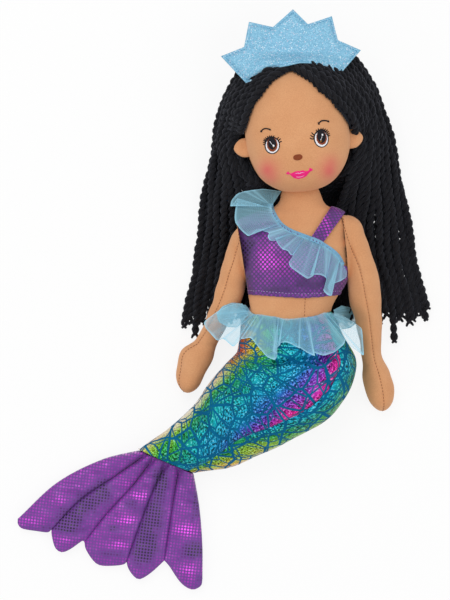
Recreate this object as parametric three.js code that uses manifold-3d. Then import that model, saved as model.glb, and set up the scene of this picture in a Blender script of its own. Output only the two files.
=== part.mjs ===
// A soft mermaid doll, 46 cm from crown to fin, lying on its back with its tail bent to one side.
// Millimetres. +X is the viewer's right, +Y points to the doll's head and +Z up from the table.
// The origin is the middle of the flat patch that the hips rest on. Left and right are the viewer's.
import * as THREE from "three";
import Module from "manifold-3d";
import { mergeVertices } from "three/addons/utils/BufferGeometryUtils.js";

// Cloth, seams and clearances
const CLOTH = 1.2; // velour and foil jersey, with their seam allowance
const GAP = 0.3; // what touching pieces keep between them
const SEAT_FLAT = 0.5; // how deep the stuffed forms are pressed flat by the table
const JOINT_GAP = 0.25; // half of the gap at the waist, the ankle and the shoulders

// Head: an egg of velour, tilted in the plane of the table
const HEAD = { x: 5, y: 195, z: 50, width: 83, height: 99, depth: 76, tilt: 7.5 };
const HEAD_POWER = 2.4;
const EAR = { length: 14, height: 16, thickness: 7, root: 6 };
const EAR_DROP = { left: 0.086 * HEAD.height, right: 0.126 * HEAD.height };
const EYE = { width: 11.6, height: 12.4, spread: 0.458 * HEAD.width, drop: 0.136 * HEAD.height };
const NOSE = { width: 7.5, height: 4.4, drop: 0.242 * HEAD.height };
const MOUTH = { width: 21, height: 6.7, drop: 0.374 * HEAD.height };
const EMBROIDERY = 0.6;
const HAIR_CAP = 5.2;
const CAP_SPLIT_Z = 44; // the cap's front halves meet its back piece here, behind the ears
const NAPE_Y = 152;
const NECK_PIVOT = [9, 143];
const NECK_SOCKET = { radius: 17.3, top: 51.6 };

// Outline of the face between the two front halves of the hair cap, from one temple to the other
const HAIRLINE = [
  [-36, 193], [-34, 197], [-31.5, 204], [-28, 213], [-21, 221], [-14, 230], [-6.5, 235], [0, 239.5],
  [7, 234], [14, 229], [20, 222.5], [28, 216], [33.5, 210], [40.5, 203], [46, 197],
];

// Stuffed forms: the two outlines seen from above, with the height of the middle and half the depth
// at each station. seam is the angle in degrees that the side seam stands above the right outline.
const TORSO = {
  left: [[-38, 40], [-37.5, 52], [-34, 66], [-36, 80], [-42, 100], [-44, 118], [-15, 134], [-7, 144], [-6, 158]],
  right: [[34, 40], [34, 52], [40, 66], [46, 80], [48, 100], [45, 118], [31, 134], [26, 144], [24, 158]],
  z: [31.5, 32, 34, 38, 41, 40, 39, 38, 38],
  depth: [25, 25, 26, 28, 28, 23, 15, 13, 13],
  roundEnd: 15,
  steps: 12,
  sides: 14,
};
const WAIST_Y = 48;
const BELLY_SEAM = { x: 11.2, lean: 0.04 };
const SHOULDER_PLANES = {
  right: { x: 40.5, y: 130, slope: 0.11, side: 1 },
  left: { x: -41.5, y: 115, slope: 0.16, side: -1 },
};
const ARM_LEFT = {
  left: [[-57, 124], [-56, 100], [-58, 74], [-63, 58], [-69.5, 39], [-75.5, 28], [-88, 14], [-91, -1], [-87, -14]],
  right: [[-30, 124], [-31, 100], [-35, 74], [-39, 58], [-50.5, 39], [-57.5, 26], [-63.5, 9], [-69, -2], [-77, -14]],
  z: [40, 35, 30, 27, 23, 18, 12.5, 11.5, 11.5],
  depth: [15.5, 15, 14, 13.5, 12, 10, 13, 13, 13],
  seam: [95, 100, 110, 115, 120, 130, 140, 140, 140],
  roundStart: 13,
  roundEnd: 12,
  steps: 11,
  sides: 8,
};
const ARM_RIGHT = {
  left: [[32, 128], [36, 104], [43, 84], [47, 62], [53, 45], [59, 16], [60, -2], [63, -16], [70, -29]],
  right: [[57, 128], [63, 104], [70.5, 84], [74, 62], [75, 45], [75.5, 16], [82, 0], [86, -13], [85, -28]],
  z: [38, 36, 32, 27, 23, 16, 11.5, 11.5, 11.5],
  depth: [15.5, 15, 14.5, 14, 12, 9.5, 13, 13, 13],
  seam: [110, 100, 95, 90, 90, 85, 85, 85, 85],
  roundStart: 13,
  roundEnd: 12,
  steps: 11,
  sides: 8,
};
const TAIL = {
  left: [[-38, 56], [-40, 36], [-41, 21], [-43, 16], [-52, 7], [-67, -10], [-84, -33], [-121, -61], [-133, -68]],
  right: [[34, 56], [41, 36], [53, 6], [36, -30], [-4, -54], [-27.5, -65], [-53, -73], [-79, -76], [-84, -86]],
  z: [31.5, 34, 35.5, 36.5, 33.5, 28.5, 20.5, 11.5, 10],
  depth: [25, 31, 36.8, 37.8, 34.8, 29.8, 21.5, 12.3, 10.7],
  seam: [25, 32, 38, 48, 55, 62, 55, 20, 10],
  steps: 13,
  sides: 16,
};
const ANKLE = { left: [-121, -61.5], right: [-80, -75.5] };

// Fin: six lines run from the ankle to the hem, two edges and four channel seams between five lobes
const FIN_LINES = [
  [[-121, -62], [-163, -77.5], [-199, -98], [-222, -121]],
  [[-116, -64], [-149, -84], [-179, -105], [-194, -129]],
  [[-110, -66], [-131, -86], [-149, -111], [-167, -138]],
  [[-99, -70], [-110, -93], [-121, -119], [-134, -155]],
  [[-89, -73], [-93, -97], [-97, -124], [-102, -151]],
  [[-80, -76], [-73, -100], [-70, -140], [-71, -173]],
];
const FIN_LOBE_REACH = [7, 12, 12, 10, 17]; // how far each lobe's tip passes the chord of its valleys
const FIN = {
  seamZ: 4, skin: CLOTH, seamHalf: 1.5, crown: 9.5, baseCrown: 12, rootShare: 0.25, rootSwell: 0.8, crossSteps: 4, longSteps: 6,
};

// Clothes
const HEM = [[-60, 64], [-33, 64], [-12, 62.5], [11, 61.5], [32, 63], [60, 66.5]];
const NECKLINE = [[60, 80], [42, 87.5], [36, 95], [23, 104], [13, 108], [1, 113], [-11, 121], [-16, 136], [-17, 142]];
const STRAP = { inner: [[17, 107.1], [30, 134], [30, 146]], outer: [[46, 146], [43.5, 130], [25.5, 103.2]] };
const NECK_RUFFLE = {
  inner: [[-14, 138], [-15, 130], [-11, 121], [1, 113], [13, 108], [23, 104], [36, 95], [42, 87]],
  outer: [[-27, 149], [-47, 141], [-37, 117], [-21, 106], [-4, 92], [12, 76], [31, 63], [46, 80]],
  folds: 9,
  swing: 4,
  lowest: 24,
};
const WAIST_RUFFLE = {
  inner: [[-38, 50], [-33, 49], [-18, 48.5], [-3, 46], [10, 47], [22, 49], [31, 50], [36, 49]],
  outer: [[-50, 57], [-68, 36], [-44, 22], [-16, 14], [9, 18], [25, 18], [45, 28], [59, 34]],
  folds: 10,
  swing: 4,
  lowest: 14,
};
const TULLE = 1.2; // two layers of tulle with the air between them
const RUFFLE_LIFT = 1.1;

// Crown: stiffened fabric, seen from the front. Its lower edge follows the hair
const CROWN_TIPS = [
  [37, 235], [55, 258], [37, 266], [33, 284], [14, 278], [2, 290], [-14, 276], [-33, 280], [-37, 260], [-55, 253],
  [-36, 231],
];
const CROWN_BASE = [[-24, 236], [-14, 242], [-3, 243], [7, 246], [15, 246], [25, 242], [31, 239]];
const CROWN = { back: 57.2, fabric: 1.1, stiffener: 2 };

// Hair: two curtains of yarn locks beside the head and a layer under the back. Each curtain lies
// between an inner and an outer line, and its locks share the room between them
const CURTAIN_LEFT = {
  inner: [
    [-32, 240], [-46, 218], [-48.5, 195], [-48, 175], [-40, 160], [-30, 140], [-25, 120], [-25, 95], [-29, 70],
    [-35, 49],
  ],
  outer: [
    [-45, 246], [-59, 220], [-64, 196], [-67, 176], [-70, 160], [-72.5, 140], [-75.5, 120], [-79, 95], [-83, 70],
    [-87, 43],
  ],
  tips: [4, 1, 6, 0, 5, 9],
  outwards: -1,
};
const CURTAIN_RIGHT = {
  inner: [
    [33.5, 243.5], [50.5, 223.5], [59.5, 200], [59, 180], [50, 162], [41, 145], [35, 125], [34, 100], [38, 72], [44, 50],
  ],
  outer: [
    [52, 254], [70, 230], [82, 200], [86, 180], [90, 160], [94, 139], [98, 118], [103, 95], [109, 72], [114, 44],
  ],
  tips: [3, 6, 1, 8, 2, 12, 5, 9],
  outwards: 1,
};
const CURTAIN_Z = [44, 44, 41, 36, 27, 13, 6, 3.4, 3.4, 3.4];
const CURTAIN_DEPTH = [10, 19, 19, 17, 12, 7.5, 4.5, 3.1, 3.1, 3.1];
const LOCK_GAP = 0.7;
const BACK_LOCKS = 5;
const BACK_HAIR = {
  left: [[-20, 98], [-21, 120], [-24, 150], [-30, 185], [-22, 222]],
  right: [[30, 98], [31, 120], [34, 150], [41, 185], [34, 222]],
  z: [2.85, 2.85, 2.85, 2.85, 2.85],
  depth: [3.3, 3.3, 3.3, 3.3, 3.3],
  square: 4,
  roundEnd: 20,
  steps: 7,
  sides: 10,
};
const BACK_LOCK_TIP_Y = 57;

const wasm = await Module();
wasm.setup();

const flat = (points) => points.map(([x, y]) => new THREE.Vector3(x, y, 0));
const through = (points) => new THREE.CatmullRomCurve3(points, false, "catmullrom", 0.5);

// A closed solid of a geometry, for cutting and joining
function solid(geometry) {
  const bare = new THREE.BufferGeometry().setAttribute("position", geometry.getAttribute("position"));
  if (geometry.index) bare.setIndex(geometry.index);
  const merged = mergeVertices(bare, 1e-4);
  return new wasm.Manifold(
    new wasm.Mesh({
      numProp: 3,
      vertProperties: merged.attributes.position.array,
      triVerts: new Uint32Array(merged.index.array),
    }),
  );
}

// A geometry from rings of equal length, closed at each end by a fan
function closedRings(rings, first, last) {
  const count = rings[0].length;
  const points = [first, ...rings.flat(), last];
  const faces = [];
  const at = (ring, k) => 1 + ring * count + (k % count);
  for (let k = 0; k < count; k++) {
    faces.push(0, at(0, k), at(0, k + 1));
    faces.push(points.length - 1, at(rings.length - 1, k + 1), at(rings.length - 1, k));
  }
  for (let ring = 0; ring + 1 < rings.length; ring++) {
    for (let k = 0; k < count; k++) {
      faces.push(at(ring, k), at(ring + 1, k), at(ring + 1, k + 1));
      faces.push(at(ring, k), at(ring + 1, k + 1), at(ring, k + 1));
    }
  }
  let volume = 0;
  for (let i = 0; i < faces.length; i += 3) {
    const [a, b, c] = [points[faces[i]], points[faces[i + 1]], points[faces[i + 2]]];
    volume += a.dot(new THREE.Vector3().crossVectors(b, c));
  }
  if (volume < 0) faces.reverse();
  return new THREE.BufferGeometry().setFromPoints(points).setIndex(faces);
}

// Reads a form at any distance from its start: middle, direction to the right outline, half sizes
function reader(form) {
  const left = through(flat(form.left));
  const right = through(flat(form.right));
  const heights = through(form.z.map((z, i) => new THREE.Vector3(z, form.depth[i], form.seam?.[i] ?? 0)));
  const middle = (t) => left.getPoint(t).add(right.getPoint(t)).multiplyScalar(0.5);
  const samples = 80;
  const reach = [0];
  for (let i = 1; i <= samples; i++) {
    reach.push(reach[i - 1] + middle(i / samples).distanceTo(middle((i - 1) / samples)));
  }
  const length = reach[samples];
  const at = (distance) => {
    const inside = Math.min(Math.max(distance, 0), length);
    let i = 1;
    while (i < samples && reach[i] < inside) i++;
    const t = (i - 1 + (inside - reach[i - 1]) / (reach[i] - reach[i - 1])) / samples;
    const centre = middle(t);
    const beyond = distance - inside;
    const [near, far] = beyond > 0 ? [0.98, 1] : [0, 0.02];
    if (beyond) centre.addScaledVector(middle(far).sub(middle(near)).normalize(), beyond);
    const across = right.getPoint(t).sub(left.getPoint(t));
    const [z, depth, seam] = heights.getPoint(t).toArray();
    centre.z = z;
    return { centre, side: across.clone().normalize(), width: across.length() / 2, depth, seam };
  };
  return { at, length };
}

// How far round an end the form has filled out: 0 at the tip, 1 where the round ends
function fill(distance, radius, power) {
  if (!radius || distance >= radius) return 1;
  return Math.max(1 - (1 - distance / radius) ** power, 0) ** (1 / power);
}

const THINNEST = 0.8; // half the width at which a shrunken form stops

// The stuffed form itself, grown or shrunk by an even amount
function stuffed(form, grow = 0) {
  const { at, length } = reader(form);
  const { steps, sides, square = 2, power = 2, offset = 0.5 } = form;
  const start = form.roundStart ? grow : 0;
  const end = form.roundEnd ? grow : 0;
  const total = length + start + end;
  const share = (q) => {
    if (form.roundStart && form.roundEnd) return (1 - Math.cos(Math.PI * q)) / 2;
    if (form.roundEnd) return Math.sin((Math.PI / 2) * q);
    return q;
  };
  const bend = (value) => Math.sign(value) * Math.abs(value) ** (2 / square);
  const rings = [];
  for (let i = form.roundStart ? 1 : 0; i <= steps - (form.roundEnd ? 1 : 0); i++) {
    const distance = share(i / steps) * total;
    const { centre, side, width, depth } = at(distance - start);
    const full =
      fill(distance, form.roundStart && form.roundStart + grow, power) *
      fill(total - distance, form.roundEnd && form.roundEnd + grow, power);
    const ring = [];
    for (let k = 0; k < sides; k++) {
      const angle = (2 * Math.PI * (k + offset)) / sides;
      ring.push(
        centre
          .clone()
          .addScaledVector(side, Math.max(width + grow, THINNEST) * full * bend(Math.cos(angle)))
          .add(new THREE.Vector3(0, 0, (depth + grow) * full * bend(Math.sin(angle)))),
      );
    }
    rings.push(ring);
  }
  return closedRings(rings, at(-start).centre, at(length + end).centre);
}

// Everything on one side of a form's side seam: side 1 is the front, -1 the back
function seamSide(form, side) {
  const { at, length } = reader(form);
  const margin = 4;
  const rings = [];
  for (let i = -1; i <= form.steps + 1; i++) {
    const { centre, side: across, width, depth, seam } = at((length * i) / form.steps);
    const angle = THREE.MathUtils.degToRad(seam);
    const up = new THREE.Vector3(0, 0, 1);
    const along = across.clone().multiplyScalar(Math.cos(angle)).addScaledVector(up, Math.sin(angle));
    const away = across.clone().multiplyScalar(-Math.sin(angle)).addScaledVector(up, Math.cos(angle));
    const reach = Math.max(width, depth) + margin;
    rings.push(
      [[-1, GAP / 2], [1, GAP / 2], [1, reach], [-1, reach]].map(([sign, lift]) =>
        centre.clone().addScaledVector(along, sign * reach).addScaledVector(away, side * lift),
      ),
    );
  }
  const middleOf = (ring) => ring.reduce((sum, p) => sum.add(p), new THREE.Vector3()).divideScalar(ring.length);
  return solid(closedRings(rings, middleOf(rings[0]), middleOf(rings.at(-1))));
}

const FAR = 700;
const ROOM = 10;
const HIGHEST = 2 * HEAD.depth;

// All space beyond a plane through a point, on the side that the normal points to
function beyond(point, normal) {
  const box = new THREE.BoxGeometry(FAR, FAR, FAR).translate(0, 0, FAR / 2);
  const turn = new THREE.Quaternion().setFromUnitVectors(new THREE.Vector3(0, 0, 1), normal.clone().normalize());
  return solid(box.applyQuaternion(turn).translate(point.x, point.y, point.z));
}

// An outline seen from above, pushed through from one height to another
function prism(outline, bottom = -ROOM, top = HIGHEST) {
  const shape = new THREE.Shape(outline.map(([x, y]) => new THREE.Vector2(x, y)));
  const geometry = new THREE.ExtrudeGeometry(shape, { depth: top - bottom, bevelEnabled: false });
  return solid(geometry.translate(0, 0, bottom));
}

const table = beyond(new THREE.Vector3(0, 0, 0), new THREE.Vector3(0, 0, 1));
const waistUp = beyond(new THREE.Vector3(0, WAIST_Y + JOINT_GAP, 0), new THREE.Vector3(0, 1, 0));
const waistDown = beyond(new THREE.Vector3(0, WAIST_Y - JOINT_GAP, 0), new THREE.Vector3(0, -1, 0));

// The space on the torso's side of a shoulder plane, moved in by an amount, or on the arm's side
function shoulderSide(plane, towardsArm, inset) {
  const normal = new THREE.Vector3(1, plane.slope, 0).normalize().multiplyScalar(plane.side);
  const point = new THREE.Vector3(plane.x, plane.y, 0).addScaledVector(normal, towardsArm ? inset : -inset);
  return beyond(point, towardsArm ? normal : normal.negate());
}
const betweenArms = (inset) =>
  shoulderSide(SHOULDER_PLANES.right, false, inset).intersect(shoulderSide(SHOULDER_PLANES.left, false, inset));

// Materials
const paint = (color, roughness, metalness = 0) => new THREE.MeshStandardMaterial({ color, roughness, metalness });
const SKIN = paint("#c68d5f", 0.95);
const STUFFING = paint("#f2efe6", 1);
const YARN = paint("#15161c", 0.9);
const GLITTER = paint("#7cc0e0", 0.5);
const FOAM = paint("#e9e6da", 1);
const PURPLE = paint("#6a2d92", 0.5, 0.3);
const NET = paint("#8fc3dc", 0.8);
const SHATTER = paint("#12809c", 0.4, 0.4);
const THREAD_DARK = paint("#1c1512", 0.7);
const THREAD_PINK = paint("#e8347f", 0.6);
const THREAD_BROWN = paint("#7a3f22", 0.6);

const doll = new THREE.Group();
function add(name, shape, material) {
  const { vertProperties, triVerts } = shape.getMesh();
  const geometry = new THREE.BufferGeometry();
  geometry.setAttribute("position", new THREE.BufferAttribute(new Float32Array(vertProperties), 3));
  geometry.setIndex(new THREE.BufferAttribute(new Uint32Array(triVerts), 1));
  geometry.computeVertexNormals();
  const mesh = new THREE.Mesh(geometry, material);
  mesh.name = name;
  doll.add(mesh);
}

// Skin and stuffing of a form, before its seams are cut
const skinOf = (form) => solid(stuffed(form)).subtract(solid(stuffed(form, -CLOTH)));
function stuffingOf(form) {
  const coarse = form.sides > 12 ? { sides: form.sides / 2, offset: 0.25 } : {};
  return solid(stuffed({ ...form, ...coarse }, -CLOTH - GAP));
}

// Torso: a back panel, and a front in two halves with a seam down the belly
function torso() {
  const trim = (shape, inset) => shape.intersect(waistUp).intersect(betweenArms(inset));
  const inset = JOINT_GAP + GAP + CLOTH + GAP;
  const outer = trim(solid(stuffed(TORSO)), inset);
  const hollow = trim(solid(stuffed(TORSO, -CLOTH)), inset + CLOTH);
  const skin = outer.subtract(hollow);
  const front = skin.intersect(seamSide(TORSO, 1));
  const seam = (side) =>
    beyond(new THREE.Vector3(BELLY_SEAM.x + (side * GAP) / 2, WAIST_Y, 0), new THREE.Vector3(side, -BELLY_SEAM.lean * side, 0));
  add("torso_front_left_panel", front.intersect(seam(-1)), SKIN);
  add("torso_front_right_panel", front.intersect(seam(1)), SKIN);
  add("torso_back_panel", skin.intersect(seamSide(TORSO, -1)), SKIN);
  add("torso_stuffing", trim(stuffingOf(TORSO), inset + CLOTH + GAP), STUFFING);
}

// Arms: an inner and an outer panel each, joined along the front of the arm and round the mitten hand
function arm(name, form, plane) {
  const trim = (shape, inset) => shape.intersect(table).intersect(shoulderSide(plane, true, inset));
  const skin = trim(solid(stuffed(form)), JOINT_GAP).subtract(trim(solid(stuffed(form, -CLOTH)), JOINT_GAP + CLOTH));
  const [first, second] = plane.side > 0 ? ["inner", "outer"] : ["outer", "inner"];
  add(`${name}_${first}_panel`, skin.intersect(seamSide(form, 1)), SKIN);
  add(`${name}_${second}_panel`, skin.intersect(seamSide(form, -1)), SKIN);
  add(`${name}_stuffing`, trim(stuffingOf(form), JOINT_GAP + CLOTH + GAP), STUFFING);
}

// Tail: front and back panels of shattered-foil jersey round one stuffing
const ankleLine = new THREE.Vector3(
  ANKLE.right[0] - ANKLE.left[0],
  ANKLE.right[1] - ANKLE.left[1],
  0,
).normalize();
const towardsFin = new THREE.Vector3(ankleLine.y, -ankleLine.x, 0);
const anklePoint = (gap) => new THREE.Vector3(...ANKLE.left, 0).addScaledVector(towardsFin, gap);
const aboveAnkle = beyond(anklePoint(-JOINT_GAP), towardsFin.clone().negate());
const belowAnkle = beyond(anklePoint(JOINT_GAP), towardsFin);

function tail() {
  const trim = (shape) => shape.intersect(waistDown).intersect(aboveAnkle).intersect(table);
  const skin = trim(skinOf(TAIL));
  add("tail_front_panel", skin.intersect(seamSide(TAIL, 1)), SHATTER);
  add("tail_back_panel", skin.intersect(seamSide(TAIL, -1)), SHATTER);
  add("tail_stuffing", trim(stuffingOf(TAIL)), STUFFING);
}

// Fin: two panels quilted together along four channel seams, so that five padded lobes stand up.
// Its grid runs across the lobes in columns and from the ankle to the hem in rows
const finLines = FIN_LINES.map((line) => through(flat(line)));
const finPlace = (lobe, share, v) => {
  const bow = 4 * share * (1 - share);
  const a = finLines[lobe].getPoint(v);
  const b = finLines[lobe + 1].getPoint(v);
  const out = new THREE.Vector3(b.y - a.y, a.x - b.x, 0).normalize();
  const point = a.clone().lerp(b, share).addScaledVector(out, bow * v ** 4 * FIN_LOBE_REACH[lobe]);
  const sides = Math.min(1, (lobe + share) * 2, (finLines.length - 1 - lobe - share) * 2);
  const open = Math.max(1 - v / FIN.rootShare, 0) * FIN.rootSwell * sides;
  return { point, v, swell: Math.max(Math.sqrt(bow * Math.max(1 - v ** 6, 0)), open) };
};

function finSheet(columns, rows, bottomOf, topOf) {
  const grid = columns.map(([lobe, step]) => rows.map((v) => finPlace(lobe, step / FIN.crossSteps, v)));
  const sheet = (heightOf) => grid.map((line) => line.map(({ point, swell, v }) => point.clone().setZ(heightOf(swell, v))));
  return gridSolid(sheet(topOf), sheet(bottomOf));
}

// A closed solid between an upper and a lower grid of points
function gridSolid(upper, lower) {
  const rows = upper.length;
  const columns = upper[0].length;
  const points = [...upper.flat(), ...lower.flat()];
  const top = (i, j) => i * columns + j;
  const under = (i, j) => rows * columns + top(i, j);
  const faces = [];
  const quad = (a, b, c, d) => faces.push(a, b, c, a, c, d);
  for (let i = 0; i + 1 < rows; i++) {
    for (let j = 0; j + 1 < columns; j++) {
      quad(top(i, j), top(i + 1, j), top(i + 1, j + 1), top(i, j + 1));
      quad(under(i, j), under(i, j + 1), under(i + 1, j + 1), under(i + 1, j));
    }
  }
  for (let i = 0; i + 1 < rows; i++) {
    quad(top(i, 0), under(i, 0), under(i + 1, 0), top(i + 1, 0));
    quad(top(i, columns - 1), top(i + 1, columns - 1), under(i + 1, columns - 1), under(i, columns - 1));
  }
  for (let j = 0; j + 1 < columns; j++) {
    quad(top(0, j), top(0, j + 1), under(0, j + 1), under(0, j));
    quad(top(rows - 1, j), under(rows - 1, j), under(rows - 1, j + 1), top(rows - 1, j + 1));
  }
  let volume = 0;
  for (let i = 0; i < faces.length; i += 3) {
    const [a, b, c] = [points[faces[i]], points[faces[i + 1]], points[faces[i + 2]]];
    volume += a.dot(new THREE.Vector3().crossVectors(b, c));
  }
  if (volume < 0) faces.reverse();
  return solid(new THREE.BufferGeometry().setFromPoints(points).setIndex(faces));
}

function fin() {
  const crown = (v) => FIN.crown + (FIN.baseCrown - FIN.crown) * Math.max(1 - v * 3, 0);
  const top = (swell, v) => FIN.seamZ + FIN.seamHalf + swell * crown(v);
  const bottom = (swell) => FIN.seamZ - FIN.seamHalf - swell * (FIN.seamZ - FIN.seamHalf + SEAT_FLAT);
  const trim = (shape) => shape.intersect(belowAnkle).intersect(table);
  const count = (n) => [...Array(n).keys()];
  const lobes = count(FIN_LINES.length - 1);
  const columns = lobes.flatMap((lobe) => count(FIN.crossSteps + 1).slice(lobe ? 1 : 0).map((step) => [lobe, step]));
  const rows = count(FIN.longSteps + 1).map((j) => j / FIN.longSteps);
  const front = finSheet(columns, rows, (s, v) => Math.max(top(s, v) - FIN.skin, FIN.seamZ + GAP / 2), top);
  const back = finSheet(columns, rows, bottom, (s) => Math.min(bottom(s) + FIN.skin, FIN.seamZ - GAP / 2));
  add("fin_front_panel", trim(front), PURPLE);
  add("fin_back_panel", trim(back), PURPLE);

  const ceiling = (s, v) => top(s, v) - FIN.skin - GAP;
  const floor = (s) => Math.max(bottom(s), 0) + FIN.skin + GAP;
  const root = finSheet(columns.slice(1, -1), rows.slice(0, 2), floor, ceiling);
  const stuffing = lobes.reduce(
    (sum, lobe) => sum.add(finSheet([1, 2, 3].map((step) => [lobe, step]), rows.slice(0, -1), floor, ceiling)),
    root,
  );
  add("fin_stuffing", stuffing.intersect(belowAnkle), STUFFING);
}

// Head: face and back panels with a seam round the sides, two ears in the seam, embroidered features
const headAxis = new THREE.Vector3(
  -Math.sin(THREE.MathUtils.degToRad(HEAD.tilt)),
  Math.cos(THREE.MathUtils.degToRad(HEAD.tilt)),
  0,
);
const headSide = new THREE.Vector3(headAxis.y, -headAxis.x, 0);
const onHead = (across, up) =>
  new THREE.Vector3(HEAD.x, HEAD.y, HEAD.z).addScaledVector(headSide, across).addScaledVector(headAxis, up);
const headEdge = (side) =>
  [-1, 1].map((end) => onHead((side * HEAD.width) / 2, (end * HEAD.height) / 2).toArray().slice(0, 2));
const HEAD_FORM = {
  left: headEdge(-1),
  right: headEdge(1),
  z: [HEAD.z, HEAD.z],
  depth: [HEAD.depth / 2, HEAD.depth / 2],
  roundStart: HEAD.height / 2,
  roundEnd: HEAD.height / 2,
  power: HEAD_POWER,
  square: 2.1,
  steps: 13,
  sides: 18,
};
const neckSocket = (grow) => {
  const radius = NECK_SOCKET.radius + grow;
  const height = NECK_SOCKET.top + grow + 2 * ROOM;
  const post = new THREE.CylinderGeometry(radius, radius, height, 24).rotateX(Math.PI / 2);
  return solid(post.translate(...NECK_PIVOT, height / 2 - 2 * ROOM));
};

function ellipse(centre, width, height, tilt = HEAD.tilt) {
  const outline = new THREE.EllipseCurve(0, 0, width / 2, height / 2, 0, 2 * Math.PI).getPoints(16).slice(0, 16);
  const turn = THREE.MathUtils.degToRad(tilt);
  return outline.map((p) => {
    p.rotateAround(new THREE.Vector2(), turn);
    return [centre.x + p.x, centre.y + p.y];
  });
}

function head() {
  const egg = (grow) => solid(stuffed(HEAD_FORM, grow));
  const skin = egg(0).subtract(egg(-CLOTH)).subtract(neckSocket(0));
  add("head_face_panel", skin.intersect(seamSide(HEAD_FORM, 1)), SKIN);
  add("head_back_panel", skin.intersect(seamSide(HEAD_FORM, -1)), SKIN);
  add("head_stuffing", stuffingOf(HEAD_FORM).subtract(neckSocket(GAP)), STUFFING);

  const clear = egg(GAP);
  const ears = { left: -1, right: 1 };
  for (const [name, side] of Object.entries(ears)) {
    const edge = (across, up) => onHead(side * across, up).toArray().slice(0, 2);
    const root = HEAD.width / 2 - EAR.root;
    const tip = HEAD.width / 2 + EAR.length - EAR.root + 2;
    const top = EAR.height / 2 - EAR_DROP[name];
    const low = -EAR.height / 2 - EAR_DROP[name];
    const ear = {
      left: [edge(root, top), edge((root + tip) / 2, top), edge(tip, top - 2)],
      right: [edge(root, low), edge((root + tip) / 2, low), edge(tip, low + 2)],
      z: [HEAD.z, HEAD.z, HEAD.z],
      depth: [EAR.thickness / 2, EAR.thickness / 2, EAR.thickness / 2],
      roundEnd: 7,
      steps: 6,
      sides: 10,
    };
    add(`ear_${name}`, solid(stuffed(ear)).subtract(clear), SKIN);
  }

  const thread = egg(GAP + EMBROIDERY).subtract(clear);
  const onFace = (outline) => thread.intersect(prism(outline, HEAD.z + 5));
  const eye = (side) => ellipse(onHead((side * EYE.spread) / 2, -EYE.drop), EYE.width, EYE.height);
  add("eye_left", onFace(eye(-1)), THREAD_DARK);
  add("eye_right", onFace(eye(1)), THREAD_DARK);
  add("nose", onFace(ellipse(onHead(-2, -NOSE.drop), NOSE.width, NOSE.height)), THREAD_BROWN);
  add("mouth", onFace(ellipse(onHead(-2, -MOUTH.drop), MOUTH.width, MOUTH.height)), THREAD_PINK);
}

// Hair cap: rows of yarn stitched to the scalp, parted down the middle, with one piece for the back
function hairCap() {
  const egg = (grow) => solid(stuffed(HEAD_FORM, grow));
  const cap = egg(GAP + HAIR_CAP).subtract(egg(GAP));
  const temple = [[80, HAIRLINE.at(-1)[1] - 4], [80, 100], [-80, 100], [-80, HAIRLINE[0][1] - 2]];
  const front = cap
    .subtract(prism([...HAIRLINE, ...temple], CAP_SPLIT_Z - 5))
    .intersect(beyond(new THREE.Vector3(0, 0, CAP_SPLIT_Z + GAP / 2), new THREE.Vector3(0, 0, 1)));
  const parted = (side) => {
    const point = onHead((side * GAP) / 2, 0);
    return front.intersect(beyond(point, headSide.clone().multiplyScalar(side)));
  };
  add("hair_cap_left", parted(-1), YARN);
  add("hair_cap_right", parted(1), YARN);
  const back = cap
    .intersect(beyond(new THREE.Vector3(0, 0, CAP_SPLIT_Z - GAP / 2), new THREE.Vector3(0, 0, -1)))
    .intersect(beyond(new THREE.Vector3(0, NAPE_Y, 0), new THREE.Vector3(0, 1, 0)))
    .subtract(neckSocket(2));
  add("hair_cap_back", back, YARN);
  add("hair_back_bundle", solid(stuffed(BACK_HAIR)).intersect(table), YARN);
}

// One lock of a curtain: share a to b of the room between the curtain's two lines
function lock(curtain, a, b, tip) {
  const shareOf = (share) =>
    curtain.inner.map(([x, y], i) => {
      const [ox, oy] = curtain.outer[i];
      const raise = i === curtain.inner.length - 1 ? tip : 0;
      return [x + (ox - x) * share, y + (oy - y) * share + raise];
    });
  const narrow = (points, other) =>
    points.map(([x, y], i) => {
      const [ox, oy] = other[i];
      const away = LOCK_GAP / 2 / Math.hypot(ox - x, oy - y);
      return [x + (ox - x) * away, y + (oy - y) * away];
    });
  const first = shareOf(a);
  const second = shareOf(b);
  return solid(
    stuffed({
      left: narrow(first, second),
      right: narrow(second, first),
      z: CURTAIN_Z,
      depth: CURTAIN_DEPTH,
      roundEnd: 5,
      steps: 10,
      sides: 6,
    }),
  );
}

function hairLocks() {
  for (const [name, curtain] of Object.entries({ left: CURTAIN_LEFT, right: CURTAIN_RIGHT })) {
    const count = curtain.tips.length;
    curtain.tips.forEach((tip, i) => {
      add(`hair_lock_${name}_${i + 1}`, lock(curtain, i / count, (i + 1) / count, tip), YARN);
    });
  }
  const [left] = BACK_HAIR.left[0];
  const [right, top] = BACK_HAIR.right[0];
  const pitch = (right - left) / BACK_LOCKS;
  for (let i = 0; i < BACK_LOCKS; i++) {
    const low = BACK_LOCK_TIP_Y + (i % 2) * 4;
    const edge = (x) => [[x, top - GAP], [x, (top + low) / 2], [x, low]];
    const form = {
      left: edge(left + i * pitch + LOCK_GAP / 2),
      right: edge(left + (i + 1) * pitch - LOCK_GAP / 2),
      z: [3.4, 3.4, 3.4],
      depth: [2.9, 2.9, 2.9],
      roundEnd: 5,
      steps: 5,
      sides: 6,
    };
    add(`hair_lock_back_${i + 1}`, solid(stuffed(form)), YARN);
  }
}

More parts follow.
